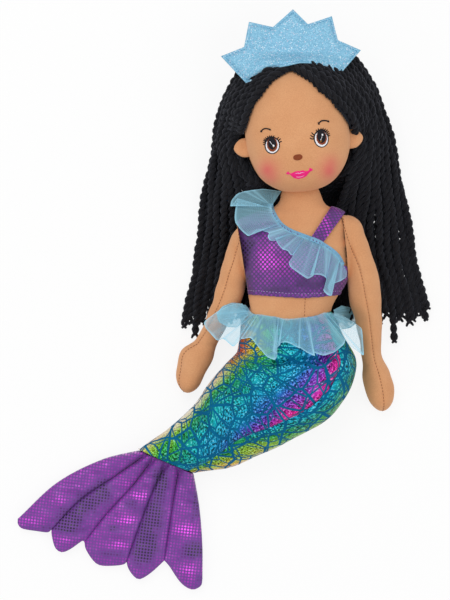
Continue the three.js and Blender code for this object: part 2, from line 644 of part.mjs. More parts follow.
// Crown: two layers of glitter fabric with a foam stiffener between them
function crown() {
  const hair = solid(stuffed(HEAD_FORM, HAIR_CAP + 2 * GAP));
  const outline = [...CROWN_TIPS, ...CROWN_BASE];
  let bottom = CROWN.back;
  const layer = (name, thickness, material) => {
    add(name, prism(outline, bottom, bottom + thickness).subtract(hair), material);
    bottom += thickness + GAP;
  };
  layer("crown_back_fabric", CROWN.fabric, GLITTER);
  layer("crown_stiffener", CROWN.stiffener, FOAM);
  layer("crown_front_fabric", CROWN.fabric, GLITTER);
}

// One-shoulder top with a strap: a band of foil-dot jersey over the chest
function top() {
  const cover = (grow, inset) => solid(stuffed(TORSO, grow)).intersect(betweenArms(inset));
  const shell = cover(GAP + CLOTH, JOINT_GAP + GAP).subtract(cover(GAP, JOINT_GAP + GAP + CLOTH));
  const outline = [...HEM, ...NECKLINE, [HEM[0][0], NECKLINE.at(-1)[1]]];
  add("bodice", shell.intersect(prism(outline)), PURPLE);
  add("shoulder_strap", shell.intersect(prism([...STRAP.inner, ...STRAP.outer])), PURPLE);
}

// The highest point of some geometries over a spot, and a little way round it
function highest(geometries, x, y, round) {
  let top = -Infinity;
  const a = new THREE.Vector3();
  const b = new THREE.Vector3();
  const c = new THREE.Vector3();
  const spots = [[0, 0], [round, 0], [-round, 0], [0, round], [0, -round]];
  for (const geometry of geometries) {
    const place = geometry.getAttribute("position");
    const index = geometry.index;
    for (let i = 0; i < index.count; i += 3) {
      a.fromBufferAttribute(place, index.getX(i));
      b.fromBufferAttribute(place, index.getX(i + 1));
      c.fromBufferAttribute(place, index.getX(i + 2));
      const area = (b.x - a.x) * (c.y - a.y) - (c.x - a.x) * (b.y - a.y);
      if (Math.abs(area) < 1e-9) continue;
      for (const [dx, dy] of spots) {
        const [px, py] = [x + dx, y + dy];
        const u = ((px - a.x) * (c.y - a.y) - (c.x - a.x) * (py - a.y)) / area;
        const v = ((b.x - a.x) * (py - a.y) - (px - a.x) * (b.y - a.y)) / area;
        if (u < 0 || v < 0 || u + v > 1) continue;
        top = Math.max(top, a.z + u * (b.z - a.z) + v * (c.z - a.z));
      }
    }
  }
  return top;
}

// A gathered ruffle lying on the pieces under it, with folds that grow from the gathers to the hem
function ruffle(name, shape, under, material) {
  const columns = shape.folds * 4;
  const rows = 3;
  const inner = through(flat(shape.inner));
  const outer = through(flat(shape.outer));
  const lower = [];
  for (let i = 0; i <= columns; i++) {
    const t = i / columns;
    const a = inner.getPoint(t);
    const b = outer.getPoint(t);
    const wave = 0.5 - 0.5 * Math.cos(2 * Math.PI * shape.folds * t);
    const row = [];
    let rest = -Infinity;
    for (let j = 0; j <= rows; j++) {
      const v = j / rows;
      const point = a.clone().lerp(b, v);
      const fall = a.distanceTo(b) / rows;
      rest = Math.max(highest(under, point.x, point.y, j ? 3 : 1), rest - fall, shape.lowest);
      point.z = rest + (j ? RUFFLE_LIFT : 1.5 * GAP) + shape.swing * v * wave;
      row.push(point);
    }
    lower.push(row);
  }
  const upper = lower.map((row) => row.map((p) => p.clone().setZ(p.z + TULLE)));
  add(name, gridSolid(upper, lower), material);
}

function ruffles() {
  const clothes = stuffed(TORSO, GAP + CLOTH);
  const arms = [stuffed(ARM_LEFT), stuffed(ARM_RIGHT)];
  ruffle("neckline_ruffle", NECK_RUFFLE, [clothes, ...arms], NET);
  ruffle("waist_ruffle", WAIST_RUFFLE, [stuffed(TORSO), stuffed(TAIL), ...arms], NET);
}

torso();
arm("arm_left", ARM_LEFT, SHOULDER_PLANES.left);
arm("arm_right", ARM_RIGHT, SHOULDER_PLANES.right);
tail();
fin();
head();
hairCap();
hairLocks();
crown();
top();
ruffles();

export default doll;
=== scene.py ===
# A soft mermaid doll that lies on its back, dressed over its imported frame.
# Forms are written in millimetres and turned to metres as each mesh is made.
# Left and right are the viewer's.
import math

import bmesh
import bpy
import numpy as np
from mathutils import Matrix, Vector
from mathutils.bvhtree import BVHTree
from mathutils.geometry import delaunay_2d_cdt


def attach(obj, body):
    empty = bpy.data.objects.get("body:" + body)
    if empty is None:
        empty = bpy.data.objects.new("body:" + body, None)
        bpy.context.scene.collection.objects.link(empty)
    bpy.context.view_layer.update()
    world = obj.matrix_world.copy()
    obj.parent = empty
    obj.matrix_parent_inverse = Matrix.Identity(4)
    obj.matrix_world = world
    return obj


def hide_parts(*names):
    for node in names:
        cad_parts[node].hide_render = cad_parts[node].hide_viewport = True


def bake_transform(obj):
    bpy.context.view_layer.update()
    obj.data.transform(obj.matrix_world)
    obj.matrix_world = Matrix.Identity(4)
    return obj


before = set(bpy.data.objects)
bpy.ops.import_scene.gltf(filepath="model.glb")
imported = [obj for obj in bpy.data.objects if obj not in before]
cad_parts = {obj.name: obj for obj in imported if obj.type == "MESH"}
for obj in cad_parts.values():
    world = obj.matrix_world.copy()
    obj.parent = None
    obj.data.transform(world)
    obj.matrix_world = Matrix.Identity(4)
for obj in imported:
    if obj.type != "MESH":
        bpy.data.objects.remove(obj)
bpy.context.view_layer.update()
MM = 0.001

# The studio: a camera that looks straight down, a white table and soft light from large lamps.
# Nothing here belongs to the doll. The table shows nearly white and keeps a faint shadow.
scene = bpy.context.scene
scene.view_settings.view_transform = "Standard"
camera_data = bpy.data.cameras.new("camera")
camera_data.sensor_fit = "VERTICAL"
camera_data.sensor_height = 24
camera_data.lens = 75
camera = bpy.data.objects.new("camera", camera_data)
camera.location = (-0.052, 0.060, 1.540)
scene.collection.objects.link(camera)
scene.camera = camera


def add_node(tree, kind, inputs=(), **settings):
    """Adds a node with its settings. An input is a value, or the output that feeds it."""
    made = tree.nodes.new(kind)
    for name, value in settings.items():
        setattr(made, name, value)
    for name, value in dict(inputs).items():
        if isinstance(value, bpy.types.NodeSocket):
            tree.links.new(value, made.inputs[name])
        else:
            made.inputs[name].default_value = value
    return made


def linear(colour):
    """An sRGB hex colour as linear red, green, blue and alpha."""
    parts = [int(colour[i : i + 2], 16) / 255 for i in (1, 3, 5)]
    return (*[c / 12.92 if c <= 0.04045 else ((c + 0.055) / 1.055) ** 2.4 for c in parts], 1.0)


def worked(tree, operation, *values):
    """The result of a maths node."""
    return add_node(tree, "ShaderNodeMath", dict(enumerate(values)), operation=operation).outputs[0]


def seen_ray(tree):
    """1 for a ray that shows the background: from the camera, a reflection or through glass."""
    path = add_node(tree, "ShaderNodeLightPath").outputs
    either = worked(tree, "MAXIMUM", path["Is Camera Ray"], path["Is Glossy Ray"])
    return worked(tree, "MAXIMUM", either, path["Is Transmission Ray"])


AMBIENT = 0.56
world = bpy.data.worlds.new("studio_air")
scene.world = world
world.use_nodes = True
air = world.node_tree
lit = worked(air, "MULTIPLY_ADD", seen_ray(air), 1 - AMBIENT, AMBIENT)
air.links.new(lit, air.nodes["Background"].inputs["Strength"])
air.nodes["Background"].inputs["Color"].default_value = (1, 1, 1, 1)

TABLE_REACH, TABLE_TOP = 5, -0.0004
table_data = bpy.data.meshes.new("table")
table_corners = [
    (x * TABLE_REACH, y * TABLE_REACH, TABLE_TOP) for x, y in ((-1, -1), (1, -1), (1, 1), (-1, 1))
]
table_data.from_pydata(table_corners, [], [(0, 1, 2, 3)])
table = bpy.data.objects.new("table", table_data)
scene.collection.objects.link(table)
paper = bpy.data.materials.new("white_paper_backdrop")
paper.use_nodes = True
tree = paper.node_tree
tree.nodes.clear()
SHOWN_WHITE = 0.86
paper_mix = {
    0: worked(tree, "MULTIPLY", seen_ray(tree), SHOWN_WHITE),
    1: add_node(tree, "ShaderNodeBsdfDiffuse", {"Color": linear("#f6f6f6")}).outputs[0],
    2: add_node(tree, "ShaderNodeEmission", {"Color": (1, 1, 1, 1), "Strength": 1.0}).outputs[0],
}
shown = add_node(tree, "ShaderNodeMixShader", paper_mix)
add_node(tree, "ShaderNodeOutputMaterial", {"Surface": shown.outputs[0]})
table_data.materials.append(paper)

LAMPS = {
    "key": ((-0.35, 0.75, 1.35), 1.0, 8.0),
    "fill": ((0.75, -0.25, 1.25), 1.2, 5.0),
    "rim": ((-0.9, -0.55, 0.7), 0.6, 1.5),
}
for name, (place, size, power) in LAMPS.items():
    lamp_data = bpy.data.lights.new(name, "AREA")
    lamp_data.size = size
    lamp_data.energy = power
    lamp = bpy.data.objects.new(name, lamp_data)
    lamp.location = place
    lamp.rotation_euler = (Vector((0, 0.05, 0)) - Vector(place)).to_track_quat("-Z", "Y").to_euler()
    scene.collection.objects.link(lamp)

# Torso: front and back panels of tan velour round a polyester stuffing, seamed at the sides.
# The front has a second seam down the belly, sewn with a tan thread.
TORSO = {
    "left": [
        (-38, 40), (-37.5, 52), (-34, 66), (-36, 80), (-42, 100), (-44, 116), (-37, 126), (-17, 132.5),
        (-9, 138), (-7, 146), (-6, 158),
    ],
    "right": [
        (34, 40), (34, 52), (40, 66), (46, 80), (48, 100), (47, 117), (45, 127), (37, 132.5), (29, 136),
        (25.5, 143), (24, 158),
    ],
    "z": [31.5, 32, 34, 38, 41, 40.5, 40, 39.5, 39, 38.5, 38],
    "depth": [25, 25, 26, 28, 28, 23.5, 18.5, 15.5, 14, 13, 13],
    "round_end": 15,
}


def smooth(points, share):
    """Places on a smooth line through points, at shares of its number of spans."""
    points = np.asarray(points, float)
    if points.ndim == 1:
        points = points[:, None]
    line = np.vstack([2 * points[0] - points[1], points, 2 * points[-1] - points[-2]])
    at = np.clip(np.asarray(share, float), 0, 1) * (len(points) - 1)
    span = np.minimum(at.astype(int), len(points) - 2)
    f = (at - span)[..., None]
    a, b, c, d = line[span], line[span + 1], line[span + 2], line[span + 3]
    return b + 0.5 * f * (c - a + f * (2 * a - 5 * b + 4 * c - d + f * (3 * (b - c) + d - a)))


def run_of(path):
    """How far along a path each of its points lies."""
    return np.concatenate([[0], np.cumsum(np.linalg.norm(np.diff(path, axis=0), axis=1))])


def read_off(path, run, at):
    """The places on a path at distances along it."""
    return np.column_stack([np.interp(at, run, path[:, k]) for k in range(path.shape[1])])


def middle_of(form, share):
    """The middle line of a form, at shares of its outline's spans."""
    return (smooth(form["left"], share) + smooth(form["right"], share)) / 2


FINE_SHARES = np.linspace(0, 1, 401)


def form_length(form):
    """The length of a form's middle line."""
    return np.linalg.norm(np.diff(middle_of(form, FINE_SHARES), axis=0), axis=1).sum()


def reading(form, distance):
    """Reads a form at distances from its start: middle, sideways direction, half sizes, seam angle."""
    run = run_of(middle_of(form, FINE_SHARES))
    at = np.interp(distance, run, FINE_SHARES)
    across = smooth(form["right"], at) - smooth(form["left"], at)
    width = np.linalg.norm(across, axis=1)
    past = distance - np.clip(distance, 0, run[-1])
    ends = smooth(form["left"], [0, 0.02, 0.98, 1]) + smooth(form["right"], [0, 0.02, 0.98, 1])
    lead, trail = ends[1] - ends[0], ends[3] - ends[2]
    ahead = np.where(past[:, None] < 0, lead / np.linalg.norm(lead), trail / np.linalg.norm(trail))
    middle = middle_of(form, at) + ahead * past[:, None]
    height, depth = smooth(form["z"], at)[:, 0], smooth(form["depth"], at)[:, 0]
    seam = np.radians(smooth(form.get("seam", [0] * len(form["z"])), at)[:, 0])
    sideways = np.column_stack([across / width[:, None], np.zeros(len(at))])
    return np.column_stack([middle, height]), sideways, width / 2, depth, seam


def filled(distance, radius, power):
    """How far round an end the form has filled out: 0 at the tip, 1 where the round ends."""
    if not radius:
        return np.ones(len(distance))
    short = np.clip(1 - distance / radius, 0, 1)
    return np.maximum(1 - short**power, 0) ** (1 / power)


def rings(form, steps, grow):
    """Where a form's rings stand, and how full each is."""
    first, last = form.get("round_start", 0), form.get("round_end", 0)
    start, end = (grow if first else 0), (grow if last else 0)
    total = form_length(form) + start + end
    q = np.linspace(0, 1, steps + 1)
    if first and last:
        q = (1 - np.cos(math.pi * q)) / 2
    elif last:
        q = np.sin(math.pi / 2 * q)
    distance = q * total
    power = form.get("power", 2)
    start_full = filled(distance, first and first + grow, power)
    return distance - start, start_full * filled(total - distance, last and last + grow, power)


def outward(grid, like):
    """Unit normals of a grid of points, on the side that agrees with the directions in like."""
    normal = np.cross(np.gradient(grid, axis=0), np.gradient(grid, axis=1))
    normal = normal / np.maximum(np.linalg.norm(normal, axis=2, keepdims=True), 1e-9)
    return -normal if (normal * np.asarray(like)).sum() < 0 else normal


def squared(value, power):
    """A circle's sine or cosine, drawn out towards a square's."""
    return np.sign(value) * np.abs(value) ** power


def bell(value, width):
    """How near a value is to zero: 1 there, fading over a width to either side."""
    return np.exp(-((value / width) ** 2))


def panel(form, side, steps, columns, grow=0.0, tuck=0.9, edge=1.5):
    """One cloth panel of a stuffed form, turned in at its seams: side 1 is the front, -1 the back."""
    distance, full = rings(form, steps, grow)
    centre, across, width, depth, seam = reading(form, distance)
    root = np.arctan2(np.sin(seam) / depth, np.cos(seam) / width)
    q = np.linspace(0, 1, columns + 1)
    q = q - 0.75 * np.sin(2 * math.pi * q) / (2 * math.pi)
    turn = root[:, None] + side * math.pi * q
    bend = 2 / form.get("square", 2)
    c, s = squared(np.cos(turn), bend), squared(np.sin(turn), bend)
    reach = np.maximum(width + grow, 0.8) * full
    grid = centre[:, None] + across[:, None] * (reach[:, None] * c)[..., None]
    grid[..., 2] += ((depth + grow) * full)[:, None] * s
    radial = across[:, None] * c[..., None] + np.array([0, 0, 1]) * s[..., None]
    normal = outward(grid, radial)
    normal = np.where(np.abs(normal).sum(2, keepdims=True) < 1e-6, radial, normal)
    gauge = np.zeros(grid.shape[:2])
    gauge[:, 1:] = np.cumsum(np.linalg.norm(np.diff(grid, axis=1), axis=2), axis=1)
    near = bell(gauge, edge) + bell(gauge[:, -1:] - gauge, edge)
    grid = grid - normal * (tuck * near * full[:, None])[..., None]
    along = np.repeat(distance[:, None], columns + 1, axis=1)
    return {"grid": grid, "normal": normal, "along": along, "gauge": gauge, "side": side, "turn": turn}


def trimmed(cloth, low, high, steps):
    """A panel cut along two edges: low and high say on which row each of its columns starts and ends."""
    rows = low + (high - low) * np.linspace(0, 1, steps + 1)[:, None]
    first = np.minimum(rows.astype(int), len(cloth["grid"]) - 2)
    part = rows - first
    column = np.arange(rows.shape[1])[None]
    cut = dict(cloth)
    for key, whole in cloth.items():
        if isinstance(whole, np.ndarray):
            mix = part[..., None] if whole.ndim == 3 else part
            cut[key] = whole[first, column] * (1 - mix) + whole[first + 1, column] * mix
    return cut


def lumps(points, size, seed):
    """Smooth hills and hollows about size apart, from about -1 to 1, at points."""
    draw, count = np.random.default_rng(seed), 14
    waves = draw.normal(size=(count, 3))
    length = np.linalg.norm(waves, axis=1)[:, None]
    waves *= (2 * math.pi / size) / length * draw.uniform(0.7, 1.3, (count, 1))
    return np.sin(points @ waves.T + draw.uniform(0, 2 * math.pi, count)).sum(-1) / count**0.5


def near_line(points, line):
    """Each point's distance from a line of corners, both seen from above."""
    line = np.asarray(line, float)
    flat = points[..., :2]
    best = np.full(flat.shape[:-1], 1e9)
    for a, b in zip(line[:-1], line[1:]):
        step = b - a
        t = np.clip(((flat - a) @ step) / (step @ step), 0, 1)
        best = np.minimum(best, np.linalg.norm(flat - (a + t[..., None] * step), axis=-1))
    return best


def swell(cloth, height):
    """Moves each point of a panel out of its surface by a height."""
    cloth["grid"] = cloth["grid"] + cloth["normal"] * height[..., None]


def crease(cloth, folds):
    """Presses folds into the top of a panel, each a line of corners, a depth and a width."""
    for line, depth, width in folds:
        away = near_line(cloth["grid"], smooth(line, np.linspace(0, 1, 40)))
        top = np.clip(cloth["normal"][..., 2] * 3, 0, 1)
        swell(cloth, -(depth * bell(away, width) * top))


def grid_faces(rows, columns):
    """Quads of a grid of points."""
    i, j = np.meshgrid(np.arange(rows - 1), np.arange(columns - 1), indexing="ij")
    a = (i * columns + j).ravel()
    return np.column_stack([a, a + columns, a + columns + 1, a + 1])


made_pieces = {}


def make(name, points, faces, finish, values=(), weld=True):
    """A mesh object from points in millimetres. values are named numbers or vectors for its points."""
    points = np.asarray(points, float).reshape(-1, 3)
    faces = faces.tolist() if isinstance(faces, np.ndarray) else faces
    mesh = bpy.data.meshes.new(name)
    mesh.from_pydata((points * MM).tolist(), [], faces)
    for key, value in dict(values).items():
        value = np.asarray(value, float)
        kind, field = ("FLOAT", "value") if value.size == len(points) else ("FLOAT_VECTOR", "vector")
        mesh.attributes.new(key, kind, "POINT").data.foreach_set(field, value.ravel().astype(np.float32))
    made = bpy.data.objects.new(name, mesh)
    scene.collection.objects.link(made)
    if weld:
        work = bmesh.new()
        work.from_mesh(mesh)
        bmesh.ops.remove_doubles(work, verts=work.verts, dist=2e-6)
        work.to_mesh(mesh)
        work.free()
    mesh.materials.append(finish)
    mesh.polygons.foreach_set("use_smooth", [True] * len(mesh.polygons))
    mesh.update()
    made_pieces[name] = made
    return made


def facing(grid, normal):
    """Quads of a grid, turned so that they face the way of its normals."""
    faces = grid_faces(*grid.shape[:2])
    flat = grid.reshape(-1, 3)
    cross = np.cross(flat[faces[:, 1]] - flat[faces[:, 0]], flat[faces[:, 3]] - flat[faces[:, 0]])
    if (cross * normal.reshape(-1, 3)[faces[:, 0]]).sum() < 0:
        faces = faces[:, ::-1]
    return faces


def sew(name, cloth, finish, values=()):
    """Makes a panel's mesh, with its place in the cloth in millimetres as its shader coordinates."""
    grid = cloth["grid"]
    place = np.zeros(grid.shape)
    place[..., 0] = cloth["along"]
    place[..., 1] = cloth["gauge"] * cloth["side"]
    return make(name, grid, facing(grid, cloth["normal"]), finish, {"cloth": place, **dict(values)})


def hold_off(points, place, normal, inset, soft=0.9):
    """Presses points flat against a plane that they would pass, as stuffed cloth does."""
    normal = np.asarray(normal, float) / np.linalg.norm(normal)
    past = (points[..., :2] - np.asarray(place, float)) @ normal[:2] + inset
    pressed = -soft * np.logaddexp(0, -past / soft)
    return points + (pressed - past)[..., None] * np.array([normal[0], normal[1], 0])


ARMS = {
    "left": {
        "left": [
            (-43, 121), (-50.5, 100), (-57.5, 75), (-62.5, 58), (-69.5, 39), (-75.5, 28), (-87.8, 18),
            (-91.5, 0), (-90, -15.5),
        ],
        "right": [
            (-28, 121), (-30, 100), (-35, 74), (-39, 58), (-50.5, 39), (-57.5, 26), (-62.5, 11),
            (-69, -3), (-75.5, -16),
        ],
        "z": [40, 35, 30, 27, 23, 18, 12.5, 11.5, 11.5],
        "depth": [15.5, 15, 14, 13.5, 12, 10, 13, 13, 13],
        "seam": [95, 100, 110, 115, 120, 130, 140, 140, 140],
        "round_start": 13,
        "round_end": 9,
    },
    "right": {
        "left": [
            (32, 128), (36, 104), (43, 84), (47, 62), (53, 45), (59, 16), (60, -3), (63.5, -17), (68, -30.5),
        ],
        "right": [
            (57, 128), (63, 104), (70.5, 84), (74, 62), (75, 45), (75.5, 16), (83, 1), (86, -14), (84, -30),
        ],
        "z": [38, 36, 32, 27, 23, 16, 11.5, 11.5, 11.5],
        "depth": [15.5, 15, 14.5, 14, 12, 9.5, 13, 13, 13],
        "seam": [110, 100, 95, 90, 90, 85, 85, 85, 85],
        "round_start": 13,
        "round_end": 9.5,
    },
}
SHOULDERS = {"right": ((40.5, 130), (1, 0.11)), "left": ((-41.5, 115), (-1, -0.16))}


def material(name, fixed):
    """A new material with its node tree and its main shader, whose fixed inputs are set."""
    made = bpy.data.materials.new(name)
    made.use_nodes = True
    shader = made.node_tree.nodes["Principled BSDF"]
    for key, value in fixed.items():
        shader.inputs[key].default_value = value
    return made, made.node_tree, shader


def feed(tree, shader, outputs):
    """Links node outputs to the shader's inputs."""
    for key, output in outputs.items():
        tree.links.new(output, shader.inputs[key])


def stored(tree, name, output="Fac"):
    """What a mesh holds for its points under a name."""
    return add_node(tree, "ShaderNodeAttribute", attribute_name=name).outputs[output]


def noise(tree, place, size, detail, rough=0.5):
    """Soft noise with patches about size across."""
    inputs = {"Vector": place, "Scale": 1 / size, "Detail": detail, "Roughness": rough}
    return add_node(tree, "ShaderNodeTexNoise", inputs).outputs["Fac"]


def ranged(tree, value, source=(0.0, 1.0), target=(0.0, 1.0)):
    """A value carried from one range to another, and held inside it."""
    keys = ("Value", "From Min", "From Max", "To Min", "To Max")
    return add_node(tree, "ShaderNodeMapRange", dict(zip(keys, (value, *source, *target)))).outputs[0]


def mixed(tree, share, low, high, how="MIX"):
    """Two colours mixed. Each is an sRGB hex colour, linear numbers or a node's output."""
    low, high = [linear(colour) if isinstance(colour, str) else colour for colour in (low, high)]
    settings = {"data_type": "RGBA", "blend_type": how}
    return add_node(tree, "ShaderNodeMix", {0: share, 6: low, 7: high}, **settings).outputs[2]


def bumped(tree, height, strength, distance):
    """Surface normals roughened by a height."""
    inputs = {"Height": height, "Strength": strength, "Distance": distance}
    return add_node(tree, "ShaderNodeBump", inputs).outputs[0]


def velour():
    """Tan velour, knitted and brushed: a short nap that is dull, a little darker in patches,
    and catches light at grazing angles. The nap is drawn at 0.9 mm, coarser than real, so that it shows."""
    fixed = {"Roughness": 0.95, "Specular IOR Level": 0.2, "Sheen Weight": 0.35, "Sheen Roughness": 0.5}
    made, tree, shader = material("brushed_velour_tan", {**fixed, "Sheen Tint": linear("#ffd9b8")})
    place = add_node(tree, "ShaderNodeTexCoord").outputs["Object"]
    nap = noise(tree, place, 0.0009, 2.0, 0.7)
    shade = mixed(tree, noise(tree, place, 0.022, 2.0), "#f2e4da", "#ffffff")
    body = mixed(tree, 1.0, mixed(tree, nap, "#cb9064", "#e9b487"), shade, "MULTIPLY")
    face = mixed(tree, stored(tree, "blush"), body, "#d9595f")
    feed(tree, shader, {"Base Color": face, "Normal": bumped(tree, nap, 0.35, 0.0004)})
    return made


VELOUR = velour()


def darker(colour, share):
    """An sRGB hex colour in linear light, dimmed to a share."""
    return [c * share for c in linear(colour)[:3]] + [1]


def thread(name, colour):
    """Spun polyester sewing thread: two plies, with a soft shine across its stitches."""
    made, tree, shader = material(name, {"Roughness": 0.6, "Sheen Weight": 0.2})
    ply = noise(tree, add_node(tree, "ShaderNodeTexCoord").outputs["Object"], 0.0006, 1.0)
    feed(tree, shader, {"Base Color": mixed(tree, ply, darker(colour, 0.55), colour)})
    return made


def walk(path, pitch):
    """Even places along a path, with the way ahead at each."""
    path = np.asarray(path, float)
    run = run_of(path)
    at = np.arange(pitch / 2, run[-1], pitch)
    way = read_off(path, run, at + 0.5) - read_off(path, run, at - 0.5)
    return read_off(path, run, at), way / np.maximum(np.linalg.norm(way, axis=1), 1e-9)[:, None]


def tube_faces(first, count, sides):
    """Quads round a tube made of count rings of points, and a cap on each end."""
    i, j = np.meshgrid(np.arange(count - 1), np.arange(sides), indexing="ij")
    a, b = first + i * sides + j, first + i * sides + (j + 1) % sides
    faces = np.stack([a, b, b + sides, a + sides], axis=-1).reshape(-1, 4).tolist()
    faces.append([first + k for k in reversed(range(sides))])
    faces.append([first + (count - 1) * sides + k for k in range(sides)])
    return faces


def unit(vector):
    """A vector of length 1 along another."""
    return vector / max(np.linalg.norm(vector), 1e-9)


# The rings of one stitch: a share of its length, and its thickness and rise as shares of its radius.
STITCH = [(-0.5, 0.25, -0.6), (-0.3, 0.9, 0.1), (0, 1, 0.35), (0.3, 0.9, 0.1), (0.5, 0.25, -0.6)]
STITCH_SIDES = 6


def stitches(name, path, finish, pitch=2.6, length=1.7, radius=0.26, slant=0.0):
    """A row of sewn stitches along a path: short round threads that dip into the cloth at each end."""
    points, faces = [], []
    up = np.array([0.0, 0.0, 1.0])
    for place, ahead in zip(*walk(path, pitch)):
        ahead = ahead * math.cos(slant) + unit(np.cross(ahead, up)) * math.sin(slant)
        side = unit(np.cross(ahead, up))
        over = np.cross(side, ahead)
        faces += tube_faces(len(points), len(STITCH), STITCH_SIDES)
        for t, thick, rise in STITCH:
            for angle in (2 * math.pi * k / STITCH_SIDES for k in range(STITCH_SIDES)):
                ring = side * math.cos(angle) + over * math.sin(angle)
                points.append(place + ahead * t * length + over * rise * radius + ring * radius * thick)
    return make(name, points, faces, finish, weld=False)


def tree_of(*grids):
    """A search tree of point grids."""
    points, faces = [], []
    for grid in grids:
        faces += (grid_faces(*grid.shape[:2]) + len(points)).tolist()
        points += grid.reshape(-1, 3).tolist()
    return BVHTree.FromPolygons(points, faces)


SKY = 400
DOWN = Vector((0, 0, -1))


def top_of(tree, x, y, missing=0.0):
    """The height of the first thing that a ray down at x, y meets."""
    hit = tree.ray_cast(Vector((x, y, SKY)), DOWN)[0]
    return hit.z if hit else missing


HOLLOW = 3.4


def melted(points, normal, other):
    """Raises the top of one stuffed form where it meets another, so that they join in a soft hollow."""
    moved = points.copy()
    for i, j in np.argwhere(normal[..., 2] > 0.05):
        height = top_of(other, *points[i, j, :2], missing=None)
        if height is not None:
            moved[i, j, 2] = HOLLOW * np.logaddexp(points[i, j, 2] / HOLLOW, height / HOLLOW)
    return moved


SEAM_THREAD = thread("spun_polyester_thread_tan", "#a8642c")
BELLY_SEAM = [(11.0, 40), (11.2, 56), (11.9, 66)]
TORSO_CREASES = [
    (BELLY_SEAM, 0.7, 0.8),
    ([(-9, 47), (-9.6, 66)], 0.25, 0.8),
    ([(25, 103), (31, 98), (36, 92)], 0.6, 1.4),
    ([(27.5, 105.5), (34, 101), (39.5, 95)], 0.7, 1.6),
]
torso_front = panel(TORSO, 1, 120, 100)
torso_back = panel(TORSO, -1, 120, 60)
crease(torso_front, TORSO_CREASES)
bare_torso = tree_of(panel(TORSO, 1, 100, 80, tuck=0)["grid"])
bare_arms = tree_of(
    *[panel(form, side, 100, 40, tuck=0)["grid"] for form in ARMS.values() for side in (1, -1)]
)
torso_front["grid"] = melted(torso_front["grid"], torso_front["normal"], bare_arms)
for cloth in (torso_front, torso_back):
    swell(cloth, 0.35 * lumps(cloth["grid"], 24, 3))
    for place, normal in SHOULDERS.values():
        cloth["grid"] = hold_off(cloth["grid"], place, normal, 0.1, soft=0.3)
torso_skin = sew("torso_front_skin", torso_front, VELOUR)
torso_rear = sew("torso_back_skin", torso_back, VELOUR)
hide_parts("torso_front_left_panel", "torso_front_right_panel", "torso_stuffing")
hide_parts("torso_back_panel")


def surface(*names):
    """A search tree of pieces made before."""
    points, faces = [], []
    for name in names:
        mesh = made_pieces[name].data
        first = len(points)
        points += [v.co / MM for v in mesh.vertices]
        faces += [[first + k for k in face.vertices] for face in mesh.polygons]
    return BVHTree.FromPolygons(points, faces)


chest_top = surface("torso_front_skin")
belly_path = [(x, y, top_of(chest_top, x, y) + 0.15) for x, y in smooth(BELLY_SEAM, np.linspace(0, 1, 30))]
belly_thread = stitches("belly_seam_thread", belly_path, SEAM_THREAD)
for piece in (torso_skin, torso_rear, belly_thread):
    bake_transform(piece)

# Arms: an outer and an inner velour panel each, with a mitten hand, sewn along the front in tan thread.
# They are stuffed before they are set into the shoulders.
WRISTS = {"left": [(-78, 26), (-68, 23), (-56, 24)], "right": [(57, 6.5), (68, 8.5), (80, 7)]}


def on_table(points, soft=0.5):
    """Presses points flat where they would pass the table."""
    z = points[..., 2]
    flat = np.array(points)
    flat[..., 2] = soft * np.logaddexp(0, z / soft)
    return flat


for hand, form in ARMS.items():
    names = {1: "outer", -1: "inner"} if hand == "left" else {1: "inner", -1: "outer"}
    seed = 10 if hand == "left" else 12
    place, normal = SHOULDERS[hand]
    for side in (1, -1):
        cloth = panel(form, side, 150, 60, tuck=0.55, edge=1.1)
        cloth["grid"] = melted(cloth["grid"], cloth["normal"], bare_torso)
        crease(cloth, [(WRISTS[hand], 0.8, 2.4)])
        swell(cloth, 0.4 * lumps(cloth["grid"], 20, seed))
        cloth["grid"] = on_table(hold_off(cloth["grid"], place, (-normal[0], -normal[1]), 0.1, soft=0.3))
        piece = sew(f"arm_{hand}_{names[side]}_skin", cloth, VELOUR)
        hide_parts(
            f"arm_{hand}_{names[side]}_panel", *([f"arm_{hand}_stuffing"] if side == 1 else []),
        )
        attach(piece, f"arm_{hand}")
        if side == 1:
            edge = cloth["grid"][12:-4, 0] + cloth["normal"][12:-4, 0] * 0.2
            sewn = stitches(f"arm_{hand}_seam_thread", edge, SEAM_THREAD, radius=0.3)
            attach(sewn, f"arm_{hand}")

# Tail: two panels of shattered-foil jersey, sewn to the belly under the frill and bent to the left.
# The front panel's foil runs from red through green and teal to magenta, the back panel's starts again.
TAIL = {
    "left": [
        (-38, 56), (-40, 36), (-41, 21), (-43, 16), (-52, 7), (-67, -10), (-84, -33), (-121, -61.5),
        (-125, -70.5),
    ],
    "right": [
        (34, 56), (41, 36), (53, 6), (36, -30), (-4, -55), (-27, -66), (-50, -76), (-77, -81),
        (-80.3, -88.5),
    ],
    "z": [31.5, 34, 35.5, 36.5, 33.5, 28.5, 20.5, 11.5, 10],
    "depth": [25, 31, 36.8, 37.8, 34.8, 29.8, 21.5, 12.3, 10.7],
    "seam": [25, 32, 38, 48, 55, 62, 55, 20, 10],
}
ANKLE = {"place": (-121, -62.2), "normal": (-0.394, -0.919)}
LAP_FOLD = [(-14, 11), (-2, 12.5), (10, 13.5), (22, 13), (34, 15)]
TAIL_CREASES = [
    (LAP_FOLD, 6.0, 2.4),
    ([(-18, 4), (-8, 6.5), (4, 5)], 1.1, 2.2),
    ([(34, 6), (22, 1), (6, 0)], 1.0, 2.4),
    ([(38, -4), (24, -9), (10, -10)], 0.8, 2.2),
    ([(-34, 18), (-24, 9), (-24, -4)], 0.7, 2.6),
    ([(26, -20), (8, -22), (-8, -18)], 0.7, 2.0),
]
